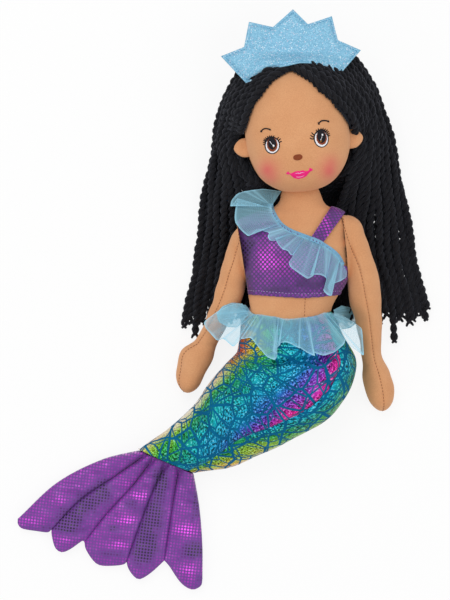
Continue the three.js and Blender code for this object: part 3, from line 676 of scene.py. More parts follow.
# The foil's colours, each at its place on one scale.
FOIL_COLOURS = [
    (-56, "#b02f3c"), (-47, "#d8452c"), (-40, "#e88a2c"), (-33, "#e6c03a"), (-24, "#a3cc34"),
    (-14, "#33ab3c"), (-5, "#0a9a74"), (4, "#0ab0b8"), (13, "#0f9cc8"), (20, "#2a6cc6"), (27, "#6440bd"),
    (34, "#9238bb"), (42, "#d02ca6"), (50, "#ee2492"),
]
# Where on that scale each place lies: rows down the tail, columns from the side seam across a panel.
FRONT_HUES = [
    (0.0, [45, 22, 8, -10, -44]), (0.1, [47, 24, 8, -16, -50]), (0.22, [49, 26, 9, -15, -50]),
    (0.34, [49, 27, 11, -2, -43]), (0.5, [42, 18, 9, 1, -35]), (0.62, [28, 12, 7, -3, -33]),
    (0.75, [12, 9, 4, -8, -32]), (0.94, [4, 2, -8, -21, -36]), (1.0, [0, -4, -15, -27, -38]),
]
BACK_HUES = [
    (0.0, [8, 6, 3, 0, -8]), (0.22, [10, 7, 3, -4, -12]), (0.34, [10, 5, -3, -10, -20]),
    (0.5, [6, -4, -13, -20, -26]), (0.62, [-6, -14, -20, -25, -31]), (0.75, [-15, -21, -26, -31, -37]),
    (1.0, [-24, -29, -34, -38, -41]),
]


def colour_bands(tree, value, bands, stepped=False):
    """Colours along a value: each band is a place and an sRGB hex colour."""
    low, high = bands[0][0], bands[-1][0]
    ramp = add_node(tree, "ShaderNodeValToRGB", {"Fac": ranged(tree, value, (low, high))})
    ramp.color_ramp.interpolation = "CONSTANT" if stepped else "LINEAR"
    stops = ramp.color_ramp.elements
    while len(stops) < len(bands):
        stops.new(1.0)
    for stop, (at, colour) in zip(stops, bands):
        stop.color = linear(colour)
    for k, (at, colour) in enumerate(bands):
        stops[k].position = (at - low) / (high - low)
    return ramp.outputs["Color"]


def foil_lines(tree, place, cell, half, shift):
    """A web of straight lines round cells, with their half width: the lines, and a colour for each cell."""
    moved = add_node(tree, "ShaderNodeVectorMath", {0: place, 1: (shift, shift * 1.7, 0)}, operation="ADD")
    web = {"Vector": moved.outputs[0], "Scale": 1 / cell, "Randomness": 1.0}
    edge = add_node(tree, "ShaderNodeTexVoronoi", web, voronoi_dimensions="2D", feature="DISTANCE_TO_EDGE")
    shard = add_node(tree, "ShaderNodeTexVoronoi", web, voronoi_dimensions="2D", feature="F1")
    line = ranged(tree, edge.outputs["Distance"], ((half + 0.2) / cell, (half - 0.2) / cell))
    return line, shard.outputs["Color"]


def shattered_foil():
    """Nylon jersey with hot-stamped foil in straight-edged shards 8 to 14 mm across, between lines of
    bare blue-green cloth 1 to 2 mm wide. The foil is crinkled, with bumps: its bright flecks are painted
    highlights and its dark flecks painted shade, and it is painted pale as a reflection where the mesh says
    so."""
    made, tree, shader = material("shattered_foil_jersey", {"Specular IOR Level": 0.12})
    place = stored(tree, "cloth", "Vector")
    wide, shard = foil_lines(tree, place, 18, 0.95, 3)
    small, large = foil_lines(tree, place, 15, 0.5, 41)[0], foil_lines(tree, place, 23, 0.7, 77)[0]
    bare = worked(tree, "MAXIMUM", wide, worked(tree, "MAXIMUM", small, large))
    tint = add_node(tree, "ShaderNodeSeparateColor", {0: shard}).outputs[0]
    hue = worked(tree, "SUBTRACT", worked(tree, "MULTIPLY_ADD", tint, 9.0, stored(tree, "hue")), 4.5)
    # The crinkled foil's flecks: they bump the foil, and give it painted shade on the dark flecks and
    # painted highlights on the bright ones.
    fleck = noise(tree, place, 1.7, 2.0, 0.7)
    crinkle = noise(tree, place, 16, 1.0)
    dark = ranged(tree, fleck, (0.43, 0.55), (0.1, 1.12))
    kept = worked(tree, "MAXIMUM", dark, ranged(tree, crinkle, (0.5, 0.72), (0.0, 0.8)))
    painted_fleck_shade = add_node(tree, "ShaderNodeCombineColor", {0: kept, 1: kept, 2: kept}).outputs[0]
    foil = mixed(tree, 1.0, colour_bands(tree, hue, FOIL_COLOURS), painted_fleck_shade, "MULTIPLY")
    # Painted highlights: the brightest flecks turn pale cyan.
    glint = mixed(tree, ranged(tree, fleck, (0.59, 0.68), (0.0, 0.6)), foil, "#a4eaf4")
    # Painted reflection: the foil turns nearly white along the lower tail's outline.
    rim_reflected = mixed(tree, stored(tree, "pale"), glint, "#f8f4ea")
    cloth = mixed(tree, crinkle, "#004a70", "#00709c")
    foiled = worked(tree, "SUBTRACT", 1.0, bare)
    outputs = {
        "Base Color": mixed(tree, bare, rim_reflected, cloth),
        "Metallic": worked(tree, "MULTIPLY", foiled, 0.3),
        "Roughness": ranged(tree, bare, target=(0.3, 0.85)),
        "Normal": bumped(tree, worked(tree, "MULTIPLY", fleck, foiled), 0.8, 0.0007),
    }
    feed(tree, shader, outputs)
    return made


def hues(down, across, table):
    """Places on the scale of foil colours, for shares of the way down a tail panel and across it."""
    stations = [row[0] for row in table]
    columns = np.stack([np.interp(down, stations, [row[1][k] for row in table]) for k in range(5)])
    at = np.clip(across * 4, 0, 4.6)
    first = np.minimum(at.astype(int), 3)
    low = np.take_along_axis(columns, first[None], axis=0)[0]
    high = np.take_along_axis(columns, first[None] + 1, axis=0)[0]
    return low + (high - low) * (at - first)


def across_tail(cloth, side):
    """How far across a tail panel each point is seen: 0 at the sewn edge, 1 at the outline, more beyond."""
    sewn, turn = np.cos(cloth["turn"][:, :1]), cloth["turn"]
    if side == 1:
        beyond = np.clip(turn / math.pi - 1, 0, 1)
        seen = (sewn - np.cos(turn)) / (1 + sewn)
    else:
        beyond = np.clip(-turn / math.pi, 0, 1)
        seen = (np.cos(turn) - sewn) / (1 - sewn)
    return np.where(beyond > 0, 1 + 0.3 * beyond, np.clip(seen, 0, 1))


def tail_wrinkles(cloth, side, share):
    """Soft lumps all over a tail panel, and fine wrinkles where it bends, away from its ends."""
    down, turned = cloth["along"], np.clip(cloth["normal"][..., 2], 0, 1)
    calm = np.clip((down - 28) / 30, 0, 1) * np.clip((198 - down) / 40, 0, 1)
    ripple = np.sin(down / 1.05 + 1.6 * np.sin(share * 5) + 2.4 * lumps(cloth["grid"], 30, 5))
    if side == 1:
        fine = np.clip(0.15 + bell(share - 0.62, 0.3) + 0.5 * lumps(cloth["grid"], 40, 8), 0, 1.2) * calm
    else:
        fine = 0.8 * bell(share - 0.35, 0.2) * calm
    return 0.5 * lumps(cloth["grid"], 34, 9) + 0.34 * ripple * fine * np.clip(turned * 2.2, 0, 1)


def foil_rim_reflection(length, seen):
    """How much painted reflection lightens the foil: along the outline of the lower tail, where it is seen
    edge on.
    """
    rim, lower = np.clip((seen - 0.85) / 0.18, 0, 1), np.clip((length - 0.44) / 0.16, 0, 1)
    return 0.85 * (rim * lower * np.clip((1.02 - length) / 0.2, 0, 1))


FOIL = shattered_foil()
WAIST_GATHER = [
    (-38.4, 55), (-31.5, 50.5), (-23.6, 48.6), (-9.4, 46.6), (-3.1, 45.3), (8.8, 46.2), (20.6, 48),
    (30.9, 50), (37.5, 52.4),
]
waist = np.array(WAIST_GATHER)
SEWN_ROWS = 10
belly = surface("torso_front_skin", "torso_back_skin")
for side, name in {1: "front", -1: "back"}.items():
    cloth = panel(TAIL, side, 230, 130, grow=0.3, tuck=1.1, edge=1.5)
    down, share = cloth["along"], cloth["gauge"] / cloth["gauge"][:, -1:]
    length, seen = down / down.max(), across_tail(cloth, side)
    swell(cloth, tail_wrinkles(cloth, side, share))
    if side == 1:
        crease(cloth, TAIL_CREASES)
    # The foil's painted reflection along the lower tail's outline.
    cloth["pale"] = foil_rim_reflection(length, seen)
    cloth["gauge"] = cloth["gauge"] - cloth["gauge"][:, -1:] / 2
    hue = hues(length, seen, FRONT_HUES if side == 1 else BACK_HUES)
    low_squeeze = 8 / (1 + np.exp(-(down - 62) / 5)) * bell(share - 0.55, 0.3)
    cloth["along"] = down + (9 / (1 + np.exp(-(down - 95) / 9)) + low_squeeze)
    cloth["hue"] = hue + 2 * lumps(cloth["grid"], 30, 2)
    starts = cloth["grid"][..., 1] < np.interp(cloth["grid"][..., 0], waist[:, 0], waist[:, 1]) - 0.8
    low = np.argmax(starts, axis=0).astype(float)
    cloth = trimmed(cloth, low, np.full(len(low), len(cloth["grid"]) - 1.0), 220)
    for row in range(SEWN_ROWS):
        hold = (1 - row / SEWN_ROWS) ** 1.5
        for point in cloth["grid"][row]:
            place, normal, _, _ = belly.find_nearest(Vector(point))
            point += (np.array(place + normal * 0.4) - point) * hold
    cloth["grid"] = on_table(hold_off(cloth["grid"], ANKLE["place"], ANKLE["normal"], 0.2, soft=0.5))
    for key in ("grid", "normal", "along", "gauge", "hue", "pale"):
        cloth[key] = np.concatenate([cloth[key], cloth[key][-1:]])
    cloth["grid"][-1, :, 2] = TAIL["z"][-1]
    piece = sew(f"tail_{name}_skin", cloth, FOIL, {"hue": cloth["hue"], "pale": cloth["pale"]})
    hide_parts(f"tail_{name}_panel", *(["tail_stuffing"] if side == 1 else []))
    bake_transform(piece)

# Fin: two layers of foil-dot jersey, quilted together along four channel seams and lightly stuffed.
# It is sewn across the ankle; its five lobes end in points.
FIN_LINES = [
    [(-121, -62.6), (-154, -71), (-190, -89.8), (-221.5, -119)],
    [(-115.5, -65), (-142, -84), (-170, -103), (-194, -127.7)],
    [(-109, -67), (-127, -91), (-149, -115), (-167, -138)],
    [(-99, -71.5), (-110, -94), (-121, -122), (-132.6, -154)],
    [(-89, -75.5), (-93, -96), (-97, -122), (-101.7, -153)],
    [(-78, -80), (-73, -109), (-70.5, -140), (-70.4, -168)],
]
LOBE_HEMS = [
    [(-221.3, -123.2), (-217.6, -127), (-206, -129), (-197, -130)],
    [(-193.6, -133.1), (-190.9, -142.6), (-185.4, -146.3), (-178, -143.5), (-169, -137.2)],
    [(-165.6, -144.3), (-159.4, -153.5), (-153.2, -157.2), (-140.8, -157.2), (-134.4, -156)],
    [(-130.9, -159.9), (-125.9, -166.6), (-121, -168.2), (-112.3, -162.9), (-103.2, -154.6)],
    [(-97.4, -157.9), (-90, -169.1), (-83.8, -174.8), (-77.6, -176.8), (-71.6, -173.6)],
]
LOBE_COLUMNS = 24
FIN_SEAM_Z = 6.4
FIN_CROWN = 5.2
FIN_ROOT = 12.5


def spun(tree, place, turn):
    """A place turned in the plane of the cloth."""
    inputs = {"Vector": place, "Angle": turn}
    return add_node(tree, "ShaderNodeVectorRotate", inputs, rotation_type="Z_AXIS").outputs[0]


def foil_dots(name, turn, across, colours):
    """Purple nylon jersey with a grid of round foil dots. Each dot's colour follows the painted light that
    the mesh holds, from painted shade to a painted highlight, so whole patches of dots light up or go dark
    together, as they do where the cloth tilts."""
    made, tree, shader = material(name, {"Sheen Weight": 0.15})
    place = stored(tree, "cloth", "Vector")

    def vector(operation, *values):
        return add_node(tree, "ShaderNodeVectorMath", dict(enumerate(values)), operation=operation).outputs

    spots = vector("DIVIDE", spun(tree, place, turn), (across, across, across))[0]
    middle = vector("SUBTRACT", vector("FRACTION", spots)[0], (0.5, 0.5, 0))[0]
    reach = vector("LENGTH", vector("MULTIPLY", middle, (1, 1, 0))[0])["Value"]
    dot = ranged(tree, reach, (0.39, 0.3))
    which = {"Vector": vector("FLOOR", spots)[0]}
    odd = add_node(tree, "ShaderNodeTexWhiteNoise", which, noise_dimensions="3D").outputs["Value"]
    level = worked(tree, "SUBTRACT", worked(tree, "MULTIPLY_ADD", odd, 0.16, stored(tree, "gleam")), 0.08)
    # Painted light on the dots: from painted shade, nearly black, to a painted highlight of bright magenta.
    bands = [(0.0, "#16042a"), (0.34, "#742290"), (0.62, "#a42cb0"), (1.0, "#ff50ff")]
    shine = colour_bands(tree, level, bands)
    weave = noise(tree, place, 0.5, 1.0)
    shade = mixed(tree, noise(tree, place, 18, 2.0), *colours)
    cloth = mixed(tree, 1.0, shade, mixed(tree, weave, "#d9d0e6", "#ffffff"), "MULTIPLY")
    outputs = {
        "Base Color": mixed(tree, dot, cloth, shine),
        "Metallic": worked(tree, "MULTIPLY", dot, 0.2),
        "Roughness": ranged(tree, dot, target=(0.62, 0.3)),
        "Normal": bumped(tree, weave, 0.2, 0.0003),
    }
    feed(tree, shader, outputs)
    return made


def patches(points, spots, base):
    """The painted light on the dots at points: a base, raised round each painted highlight and lowered round
    each patch of painted shade.
    """
    level = np.full(points.shape[:-1], float(base))
    for x, y, reach_x, reach_y, amount in spots:
        away = ((points[..., 0] - x) / reach_x) ** 2 + ((points[..., 1] - y) / reach_y) ** 2
        level = level + amount * np.exp(-away)
    return level


# Painted highlights and painted shade on the fin's dots: each patch's place, reach and strength, above zero
# for light and below for shade.
FIN_PAINTED_LIGHT = [
    (-132, -119.5, 10, 3, 0.6), (-137, -140, 8, 2.6, 0.55), (-121, -99.5, 7, 2.6, 0.5),
    (-83, -127.5, 10, 4.5, 0.55), (-81, -160, 7, 6, 0.45), (-184, -136, 8, 3, 0.35),
    (-210, -120, 10, 3, 0.35), (-185, -103.5, 4, 3.5, 0.4), (-107, -106.5, 3, 4, 0.35),
    (-110, -128, 3, 3.5, 0.35), (-135, -90, 8, 3, 0.2), (-151.5, -95.5, 8, 9, -0.75),
    (-165, -106, 9, 8, -0.75), (-179, -120, 10, 10, -0.8), (-104, -88, 6, 12, -0.75),
    (-114.5, -127, 9, 15, -0.75), (-118, -145, 9, 10, -0.75), (-108, -110, 6, 12, -0.7),
    (-77, -144, 10, 8, -0.75), (-75, -107, 5, 14, -0.5), (-143, -126, 5, 3, -0.6),
    (-144, -147, 13, 3, -0.35), (-190, -126, 14, 2.5, -0.3), (-128, -106, 5, 4, -0.4),
    (-72, -168, 4, 8, -0.4),
]
FOIL_DOTS_FIN = foil_dots("foil_dot_jersey_fin", 0.12, 2.5, ("#62308a", "#7a429c"))
fin_paths = [smooth(line, np.linspace(0, 1, 91)) for line in FIN_LINES]


def fin_cover(top):
    """The grid of one side of the fin, and how far inside its lobe each point lies. Columns go across
    each lobe, and rows from the ankle to the hem."""
    v = np.linspace(0, 1, 91)
    columns, heights, inner = [], [], []
    for lobe in range(5):
        a, b = fin_paths[lobe], fin_paths[lobe + 1]
        hem = smooth([a[-1], *LOBE_HEMS[lobe], b[-1]], np.linspace(0, 1, 120))
        run = run_of(hem)
        for step in range(LOBE_COLUMNS if lobe < 4 else LOBE_COLUMNS + 1):
            share = (1 - math.cos(math.pi * step / LOBE_COLUMNS)) / 2
            bow = 4 * share * (1 - share)
            point = a + (b - a) * share
            point = point + (read_off(hem, run, share * run[-1])[0] - point[-1]) * (v**4)[:, None]
            sides = min(1, (lobe + share) * 2, (5 - lobe - share) * 2)
            opened = np.clip(1 - v / 0.25, 0, 1) * 0.8 * sides
            puff = np.maximum(bow**0.4 * np.clip(1 - v**9, 0, 1) ** 0.5, opened)
            puff = puff - 0.07 * bell(v - 0.957, 0.01) * bow
            crown = FIN_CROWN + (FIN_ROOT - FIN_CROWN) * np.clip(1 - v * 3, 0, 1)
            columns.append(point)
            heights.append(FIN_SEAM_Z + puff * crown + 0.3 if top else FIN_SEAM_Z - puff * FIN_SEAM_Z - 0.3)
            inner.append(np.full(len(v), share * (1 - share) * 4) * np.clip((1 - v) * 8, 0, 1))
    return np.dstack([np.array(columns), np.array(heights)]), np.array(inner)


fin_grid, fin_inner = fin_cover(True)
wrinkle = np.sin(fin_grid[..., 1] / 2.1 + fin_grid[..., 0] / 6.5 + 2.5 * lumps(fin_grid, 30, 21))
strong = np.clip(0.25 + lumps(fin_grid, 28, 22), 0, 1)
fin_grid[..., 2] += fin_inner * (0.75 * lumps(fin_grid, 17, 23) + 0.8 * wrinkle * strong)
under_grid, _ = fin_cover(False)
for name, grid, sign in (("front", fin_grid, 1), ("back", under_grid, -1)):
    grid = on_table(hold_off(grid, ANKLE["place"], (-ANKLE["normal"][0], -ANKLE["normal"][1]), 0.3), 0.25)
    normal = outward(grid, (0, 0, sign))
    # Painted light by facing: dots where the cloth faces up the table and to the right are painted brighter,
    # and darker where it faces away.
    tilt = 0.22 * (normal[..., 1] * 0.6 + normal[..., 0] * 0.3)
    gleam = patches(grid, FIN_PAINTED_LIGHT, 0.53) + 0.06 * lumps(grid, 9, 31) + tilt
    place = np.array(grid)
    place[..., 2] = 0
    values = {"cloth": place, "gleam": gleam}
    piece = make(f"fin_{name}_cover", grid, facing(grid, normal), FOIL_DOTS_FIN, values)
    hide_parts(f"fin_{name}_panel", *(["fin_stuffing"] if sign == 1 else []))
    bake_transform(piece)
    if sign == 1:
        fin_top = grid
FIN_THREAD = thread("spun_polyester_thread_plum", "#3b1550")
for lobe in range(1, 5):
    name, channel = f"fin_channel_thread_{lobe}", fin_top[lobe * LOBE_COLUMNS] + np.array([0, 0, 0.15])
    sewn = stitches(name, channel[4:], FIN_THREAD, pitch=2.4, length=1.3, radius=0.3)
    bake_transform(sewn)

# Head: a velour face panel and back panel seamed round the sides, over a firm round stuffing.
# It is tilted a little to the left; the cheeks are blushed with colour rubbed into the nap.
HEAD = {
    "x": 5.0, "y": 195.0, "z": 50.0, "width": 83.0, "height": 99.0, "depth": 76.0, "tilt": math.radians(7.5),
}
head_up = np.array([-math.sin(HEAD["tilt"]), math.cos(HEAD["tilt"])])
head_right = np.array([head_up[1], -head_up[0]])
HEAD_POWER, HEAD_SQUARE = 2.4, 2.1


def on_head(across, up):
    """The place on the table's plane that lies across and up from the middle of the head."""
    return np.array([HEAD["x"], HEAD["y"]]) + across * head_right + up * head_up


def in_head(x, y):
    """How far across and up from the middle of the head a place on the table's plane lies."""
    dx, dy = np.asarray(x, float) - HEAD["x"], np.asarray(y, float) - HEAD["y"]
    return dx * head_right[0] + dy * head_right[1], dx * head_up[0] + dy * head_up[1]


HEAD_FORM = {
    "left": [on_head(-HEAD["width"] / 2, end * HEAD["height"] / 2) for end in (-1, 1)],
    "right": [on_head(HEAD["width"] / 2, end * HEAD["height"] / 2) for end in (-1, 1)],
    "z": [HEAD["z"]] * 2,
    "depth": [HEAD["depth"] / 2] * 2,
    "round_start": HEAD["height"] / 2,
    "round_end": HEAD["height"] / 2,
    "power": HEAD_POWER,
    "square": HEAD_SQUARE,
}
# The cheeks' blush: each spot's place on the head, its reach and its strength.
BLUSH = [
    (-28.2, -29.3, 6.5, 0.75), (-25.0, -36.5, 5.5, 0.35), (19.8, -37.2, 6.5, 0.75), (22.6, -30.0, 5.5, 0.3),
]


def head_ring(up):
    """The head's half width as a share, at a share of its half height."""
    return np.clip(1 - np.abs(up) ** HEAD_POWER, 0, 1) ** (1 / HEAD_POWER)


def head_rise(ring, across):
    """The head's half depth as a share, at a share of its half width."""
    return np.clip(ring**HEAD_SQUARE - np.abs(across) ** HEAD_SQUARE, 0, None) ** (1 / HEAD_SQUARE)


def skull_height(x, y, grow):
    """The height of the face over places on the table's plane, or nan beside it."""
    across, up = in_head(x, y)
    rise = head_rise(head_ring(up / (HEAD["height"] / 2 + grow)), across / (HEAD["width"] / 2 + grow))
    return np.where(rise > 0, HEAD["z"] + (HEAD["depth"] / 2 + grow) * rise, np.nan)


for side, name in {1: "face", -1: "back"}.items():
    cloth = panel(HEAD_FORM, side, 120, 110, tuck=1.2, edge=1.6)
    swell(cloth, 0.3 * lumps(cloth["grid"], 26, 41))
    across, up = in_head(cloth["grid"][..., 0], cloth["grid"][..., 1])
    blush = sum(w * np.exp(-(((across - u) ** 2 + (up - v) ** 2) / r**2) ** 0.75) for u, v, r, w in BLUSH)
    piece = sew(f"head_{name}_skin", cloth, VELOUR, {"blush": np.minimum(blush, 0.8) * (side == 1)})
    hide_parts(f"head_{name}_panel", *(["head_stuffing"] if side == 1 else []))
    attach(piece, "head")

# Ears: two small velour pads, each sewn into the head's side seam, with a dimple at the root.
# Each is a front and a back half made as one mesh; the right ear sits a little lower.
EAR_DROPS = {"left": (-1, 8.5), "right": (1, 12.5)}
root, tip = HEAD["width"] / 2 - 6, HEAD["width"] / 2 + 10


def joined(parts):
    """Points and faces of grids with normals, as one mesh whose faces look the way of the normals."""
    points, faces = [], []
    for grid, normal in parts:
        faces += (facing(grid, normal) + len(points)).tolist()
        points += grid.reshape(-1, 3).tolist()
    return points, faces


for name, (side, drop) in EAR_DROPS.items():
    rims = {}
    for edge, height, taper in (("left", 8 - drop, -2), ("right", -8 - drop, 2)):
        corners = [(root, height), ((root + tip) / 2, height), (tip, height + taper)]
        rims[edge] = [on_head(side * u, v) for u, v in corners]
    ear_form = {**rims, "z": [HEAD["z"]] * 3, "depth": [3.5] * 3, "round_end": 7}
    halves = []
    for half in (1, -1):
        cloth = panel(ear_form, half, 40, 36, tuck=0.5, edge=1.2)
        hollow = np.exp(-(((cloth["grid"][..., :2] - on_head(side * (root + 7), -drop)) ** 2).sum(-1)) / 14)
        swell(cloth, -1.2 * hollow * (half == 1))
        halves.append((cloth["grid"], cloth["normal"]))
    ear = make(f"ear_{name}_pad", *joined(halves), VELOUR)
    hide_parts(f"ear_{name}")
    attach(ear, "head")

# Hair: ropes of two black acrylic yarns, twisted together and sewn to the scalp along a middle parting.
# A black cap under them hides the scalp. Each rope is modelled as its two yarns.
CURTAINS = {
    "left": {
        "inner": [
            (-2, 243), (-10, 238), (-19, 231.5), (-27, 222), (-33, 212), (-38, 200), (-41, 192),
            (-42, 182), (-38, 168), (-34, 154), (-29, 138), (-26, 122), (-25, 105), (-27, 88), (-31, 68),
            (-35, 49),
        ],
        "outer": [
            (-6, 249), (-22, 253), (-34, 248), (-42, 240), (-50, 228), (-55, 214), (-58, 200), (-61, 183),
            (-64, 166), (-68, 145), (-71, 126), (-73, 110), (-76, 94), (-78, 80), (-81, 62), (-84, 42),
        ],
        "tips": [46, 50, 42, 48, 44, 40, 29, 37],
        "under": [52, 44, 49, 41, 50, 38, 47, 43, 51, 42, 46, 40],
    },
    "right": {
        "inner": [
            (1, 243), (12, 236.5), (24, 226), (35, 217), (45, 206), (51, 197), (53, 188), (53, 178),
            (50, 165), (45, 150), (41, 138), (36, 122), (35, 105), (36, 88), (40, 68), (44, 50),
        ],
        "outer": [
            (-4, 249), (22, 257), (42, 256), (54, 251), (63, 241), (69, 230), (74, 217), (80, 200),
            (84, 183), (89, 162), (94, 141), (98, 120), (102, 101), (106, 84), (110, 66), (114, 44),
        ],
        "tips": [48, 44, 50, 40, 32, 45, 25, 44, 42, 47, 52],
        "under": [50, 41, 47, 36, 44, 52, 46, 40, 51, 45, 42, 48, 39, 44, 50, 43],
    },
}
INNER_Z = [44, 42, 38, 30, 20, 12, 8, 7, 7, 7]
OUTER_Z = [44, 44, 40, 36, 32, 28, 24, 20, 16, 12, 9, 6, 5, 4, 4, 4]
HILL = [5, 5, 6, 6, 7, 7, 7, 7, 7, 6, 5, 4, 2, 1.5, 1, 0.5]


def yarn():
    """Acrylic yarn, black with a faint blue cast: dull loose fibres that run round each ply."""
    fixed = {"Roughness": 0.85, "Specular IOR Level": 0.25, "Sheen Weight": 0.25, "Sheen Roughness": 0.45}
    made, tree, shader = material("acrylic_yarn_black", {**fixed, "Sheen Tint": linear("#8e93a6")})
    stretch = {0: stored(tree, "cloth", "Vector"), 1: (0.5, 2.2, 1.0)}
    drawn = add_node(tree, "ShaderNodeVectorMath", stretch, operation="MULTIPLY").outputs[0]
    fibre = noise(tree, drawn, 1.0, 2.0, 0.6)
    tone = mixed(tree, ranged(tree, fibre, (0.36, 0.66)), "#050507", "#15151b")
    feed(tree, shader, {"Base Color": tone, "Normal": bumped(tree, fibre, 0.8, 0.0006)})
    return made


YARN = yarn()


def carried(path):
    """The way ahead along a path, with two directions across it that don't spin."""
    way = np.gradient(path, axis=0)
    way /= np.maximum(np.linalg.norm(way, axis=1), 1e-9)[:, None]
    side = np.cross(way[0], (0.0, 0.0, 1.0))
    if np.linalg.norm(side) < 0.1:
        side = np.cross(way[0], (1.0, 0.0, 0.0))
    sides = []
    for ahead in way:
        side = side - (side @ ahead) * ahead
        side = side / np.linalg.norm(side)
        sides.append(side)
    sides = np.array(sides)
    return way, sides, np.cross(way, sides)


def twisted(path, phase, pitch):
    """Two yarns twisted round a path: points, faces, and each point's place along and round its yarn."""
    ply, apart, fray, sides, step = 1.75, 1.45, 7.0, 6, 1.65
    run = run_of(path)
    at = np.linspace(0, run[-1], max(int(run[-1] / step), 8))
    middle = read_off(path, run, at)
    _, across, over = carried(middle)
    points, faces, places = [], [], []
    angle = np.arange(sides) * 2 * math.pi / sides
    for strand in (0, 1):
        turn = 2 * math.pi * at / pitch + phase + math.pi * strand
        loose = np.clip((at - run[-1] + fray) / fray, 0, 1) ** 2
        off = apart + 1.3 * loose
        centre = middle + across * (np.cos(turn) * off)[:, None] + over * (np.sin(turn) * off)[:, None]
        _, a, b = carried(centre)
        thick = ply * (1 + 0.08 * np.sin(at / 2.3 + phase * 3)) * np.clip(1 - 0.45 * loose, 0.3, 1)
        spokes = a[:, None] * np.cos(angle)[None, :, None] + b[:, None] * np.sin(angle)[None, :, None]
        ring = centre[:, None] + spokes * thick[:, None, None]
        spot = np.zeros(ring.shape)
        spot[..., 0] = at[:, None] + strand * 500 + phase * 90
        spot[..., 1] = (angle * ply + at[:, None] * 0.9)
        faces += tube_faces(len(points), len(at), sides)
        points += ring.reshape(-1, 3).tolist()
        places += spot.reshape(-1, 3).tolist()
    return points, faces, places


def rope_group(name, paths, seed):
    """Many ropes as one piece, each with its own twist."""
    draw = np.random.default_rng(seed)
    points, faces, places = [], [], []
    for path in paths:
        more, quads, spots = twisted(path, draw.uniform(0, 2 * math.pi), pitch=draw.uniform(11.5, 14))
        faces += [[len(points) + k for k in face] for face in quads]
        points += more
        places += spots
    return make(name, points, faces, YARN, {"cloth": places}, weld=False)


HAIR_FLOOR = 3.35
ON_SKULL = 3.2


def curtain_path(curtain, share, tip, seed, sink):
    """The middle of one rope that hangs at a share of the way from a curtain's inner to its outer line."""
    inner, outer = np.array(curtain["inner"], float), np.array(curtain["outer"], float)
    plan = inner + (outer - inner) * share
    plan[-1, 1] = tip
    top = skull_height(inner[:6, 0], inner[:6, 1], 3)
    inner_z = np.concatenate([np.where(np.isnan(top), 58, top), INNER_Z])
    z = inner_z * (1 - share) + np.array(OUTER_Z, float) * share + 4 * share * (1 - share) * np.array(HILL)
    t = np.linspace(0, 1, 240)
    path = smooth(np.column_stack([plan, z]), t)
    draw = np.random.default_rng(seed)
    for axis, size in ((0, 0.65), (2, 0.325)):
        for wave in (2, 3.3, 5.1):
            sway = size * np.sin(2 * math.pi * wave * t + draw.uniform(0, 6.3))
            path[:, axis] += sway * np.clip(t * 4, 0, 1)
    rest = skull_height(path[:, 0], path[:, 1], ON_SKULL)
    path[:, 2] = np.fmax(path[:, 2] - sink, np.where(np.isnan(rest), -99, rest - 0.6 * sink))
    path[:, 2] = np.maximum(path[:, 2], HAIR_FLOOR)
    return path


LOCKS = {"left": 6, "right": 8}
for side, curtain in CURTAINS.items():
    sign = -1 if side == "left" else 1
    front, below = [], []
    for i, tip in enumerate(curtain["tips"]):
        share = i / (len(curtain["tips"]) - 1)
        front.append(curtain_path(curtain, share, tip, 100 + i * 7 + sign, (i % 2) * 1.4 - 0.7))
    for i, tip in enumerate(curtain["under"]):
        share = (i + 0.5) / len(curtain["under"])
        below.append(curtain_path(curtain, share, tip, 300 + i * 7 + sign, 4.5 + (i % 2) * 3))
    over = rope_group(f"hair_ropes_{side}", front, 41 + sign)
    under = rope_group(f"hair_ropes_{side}_under", below, 51 + sign)
    nodes = [f"hair_lock_{side}_{k + 1}" for k in range(LOCKS[side])]
    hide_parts(f"hair_cap_{side}", *nodes)
    for piece in (over, under):
        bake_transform(piece)


def behind(share, tip, seed):
    """A rope over the back of the head and down under the shoulders."""
    up = np.linspace(0.86, -0.72, 40) * HEAD["height"] / 2
    ring = head_ring(up / (HEAD["height"] / 2 + ON_SKULL))
    across = share * (HEAD["width"] / 2 + 1) * ring
    rise = head_rise(ring, across / (HEAD["width"] / 2 + ON_SKULL))
    places = np.array([on_head(u, v) for u, v in zip(across, up)])
    head = np.column_stack([places, HEAD["z"] - (HEAD["depth"] / 2 + ON_SKULL) * rise])
    head[:, 2] = np.clip(head[:, 2], HAIR_FLOOR, 38)
    x, y = head[-1, 0], head[-1, 1]
    spread = 5 + share * 40
    run = [(x + (spread - x) * 0.35, y - 16, 5.2), (x + (spread - x) * 0.8, y - 40, 3.6)]
    run += [(spread, low, HAIR_FLOOR) for low in (y - 62, (y - 62 + tip) / 2, tip)]
    path = smooth(np.vstack([head[::4], head[-1:], run]), np.linspace(0, 1, 200))
    path[:, 0] += 0.8 * np.sin(np.linspace(0, 9, 200) + seed) * np.linspace(0, 1, 200)
    path[:, 2] = np.maximum(path[:, 2], 3.3)
    return path


back_paths = []
for k, share in enumerate(np.linspace(-1.22, 1.16, 28)):
    tip = 43 + 2 * math.sin(3.1 * k) if share > 0.5 else 56 + 3 * math.sin(3.1 * k)
    back_paths.append(behind(share, tip, k))
back_hair = rope_group("hair_ropes_back", back_paths, 61)
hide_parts("hair_back_bundle", *[f"hair_lock_back_{k}" for k in range(1, 6)])
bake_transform(back_hair)

# The edge of the hair round the face, closed below the ears.
HAIR_EDGE = [
    (-60, 120), (-44, 186), (-37, 192), (-35, 197), (-32.5, 204), (-29, 213), (-22, 221), (-15, 230),
    (-7.5, 235), (0, 239.5), (8, 234), (15, 229), (21, 222.5), (29, 216), (34.5, 210), (41.5, 203),
    (47, 196), (54, 190), (70, 120),
]


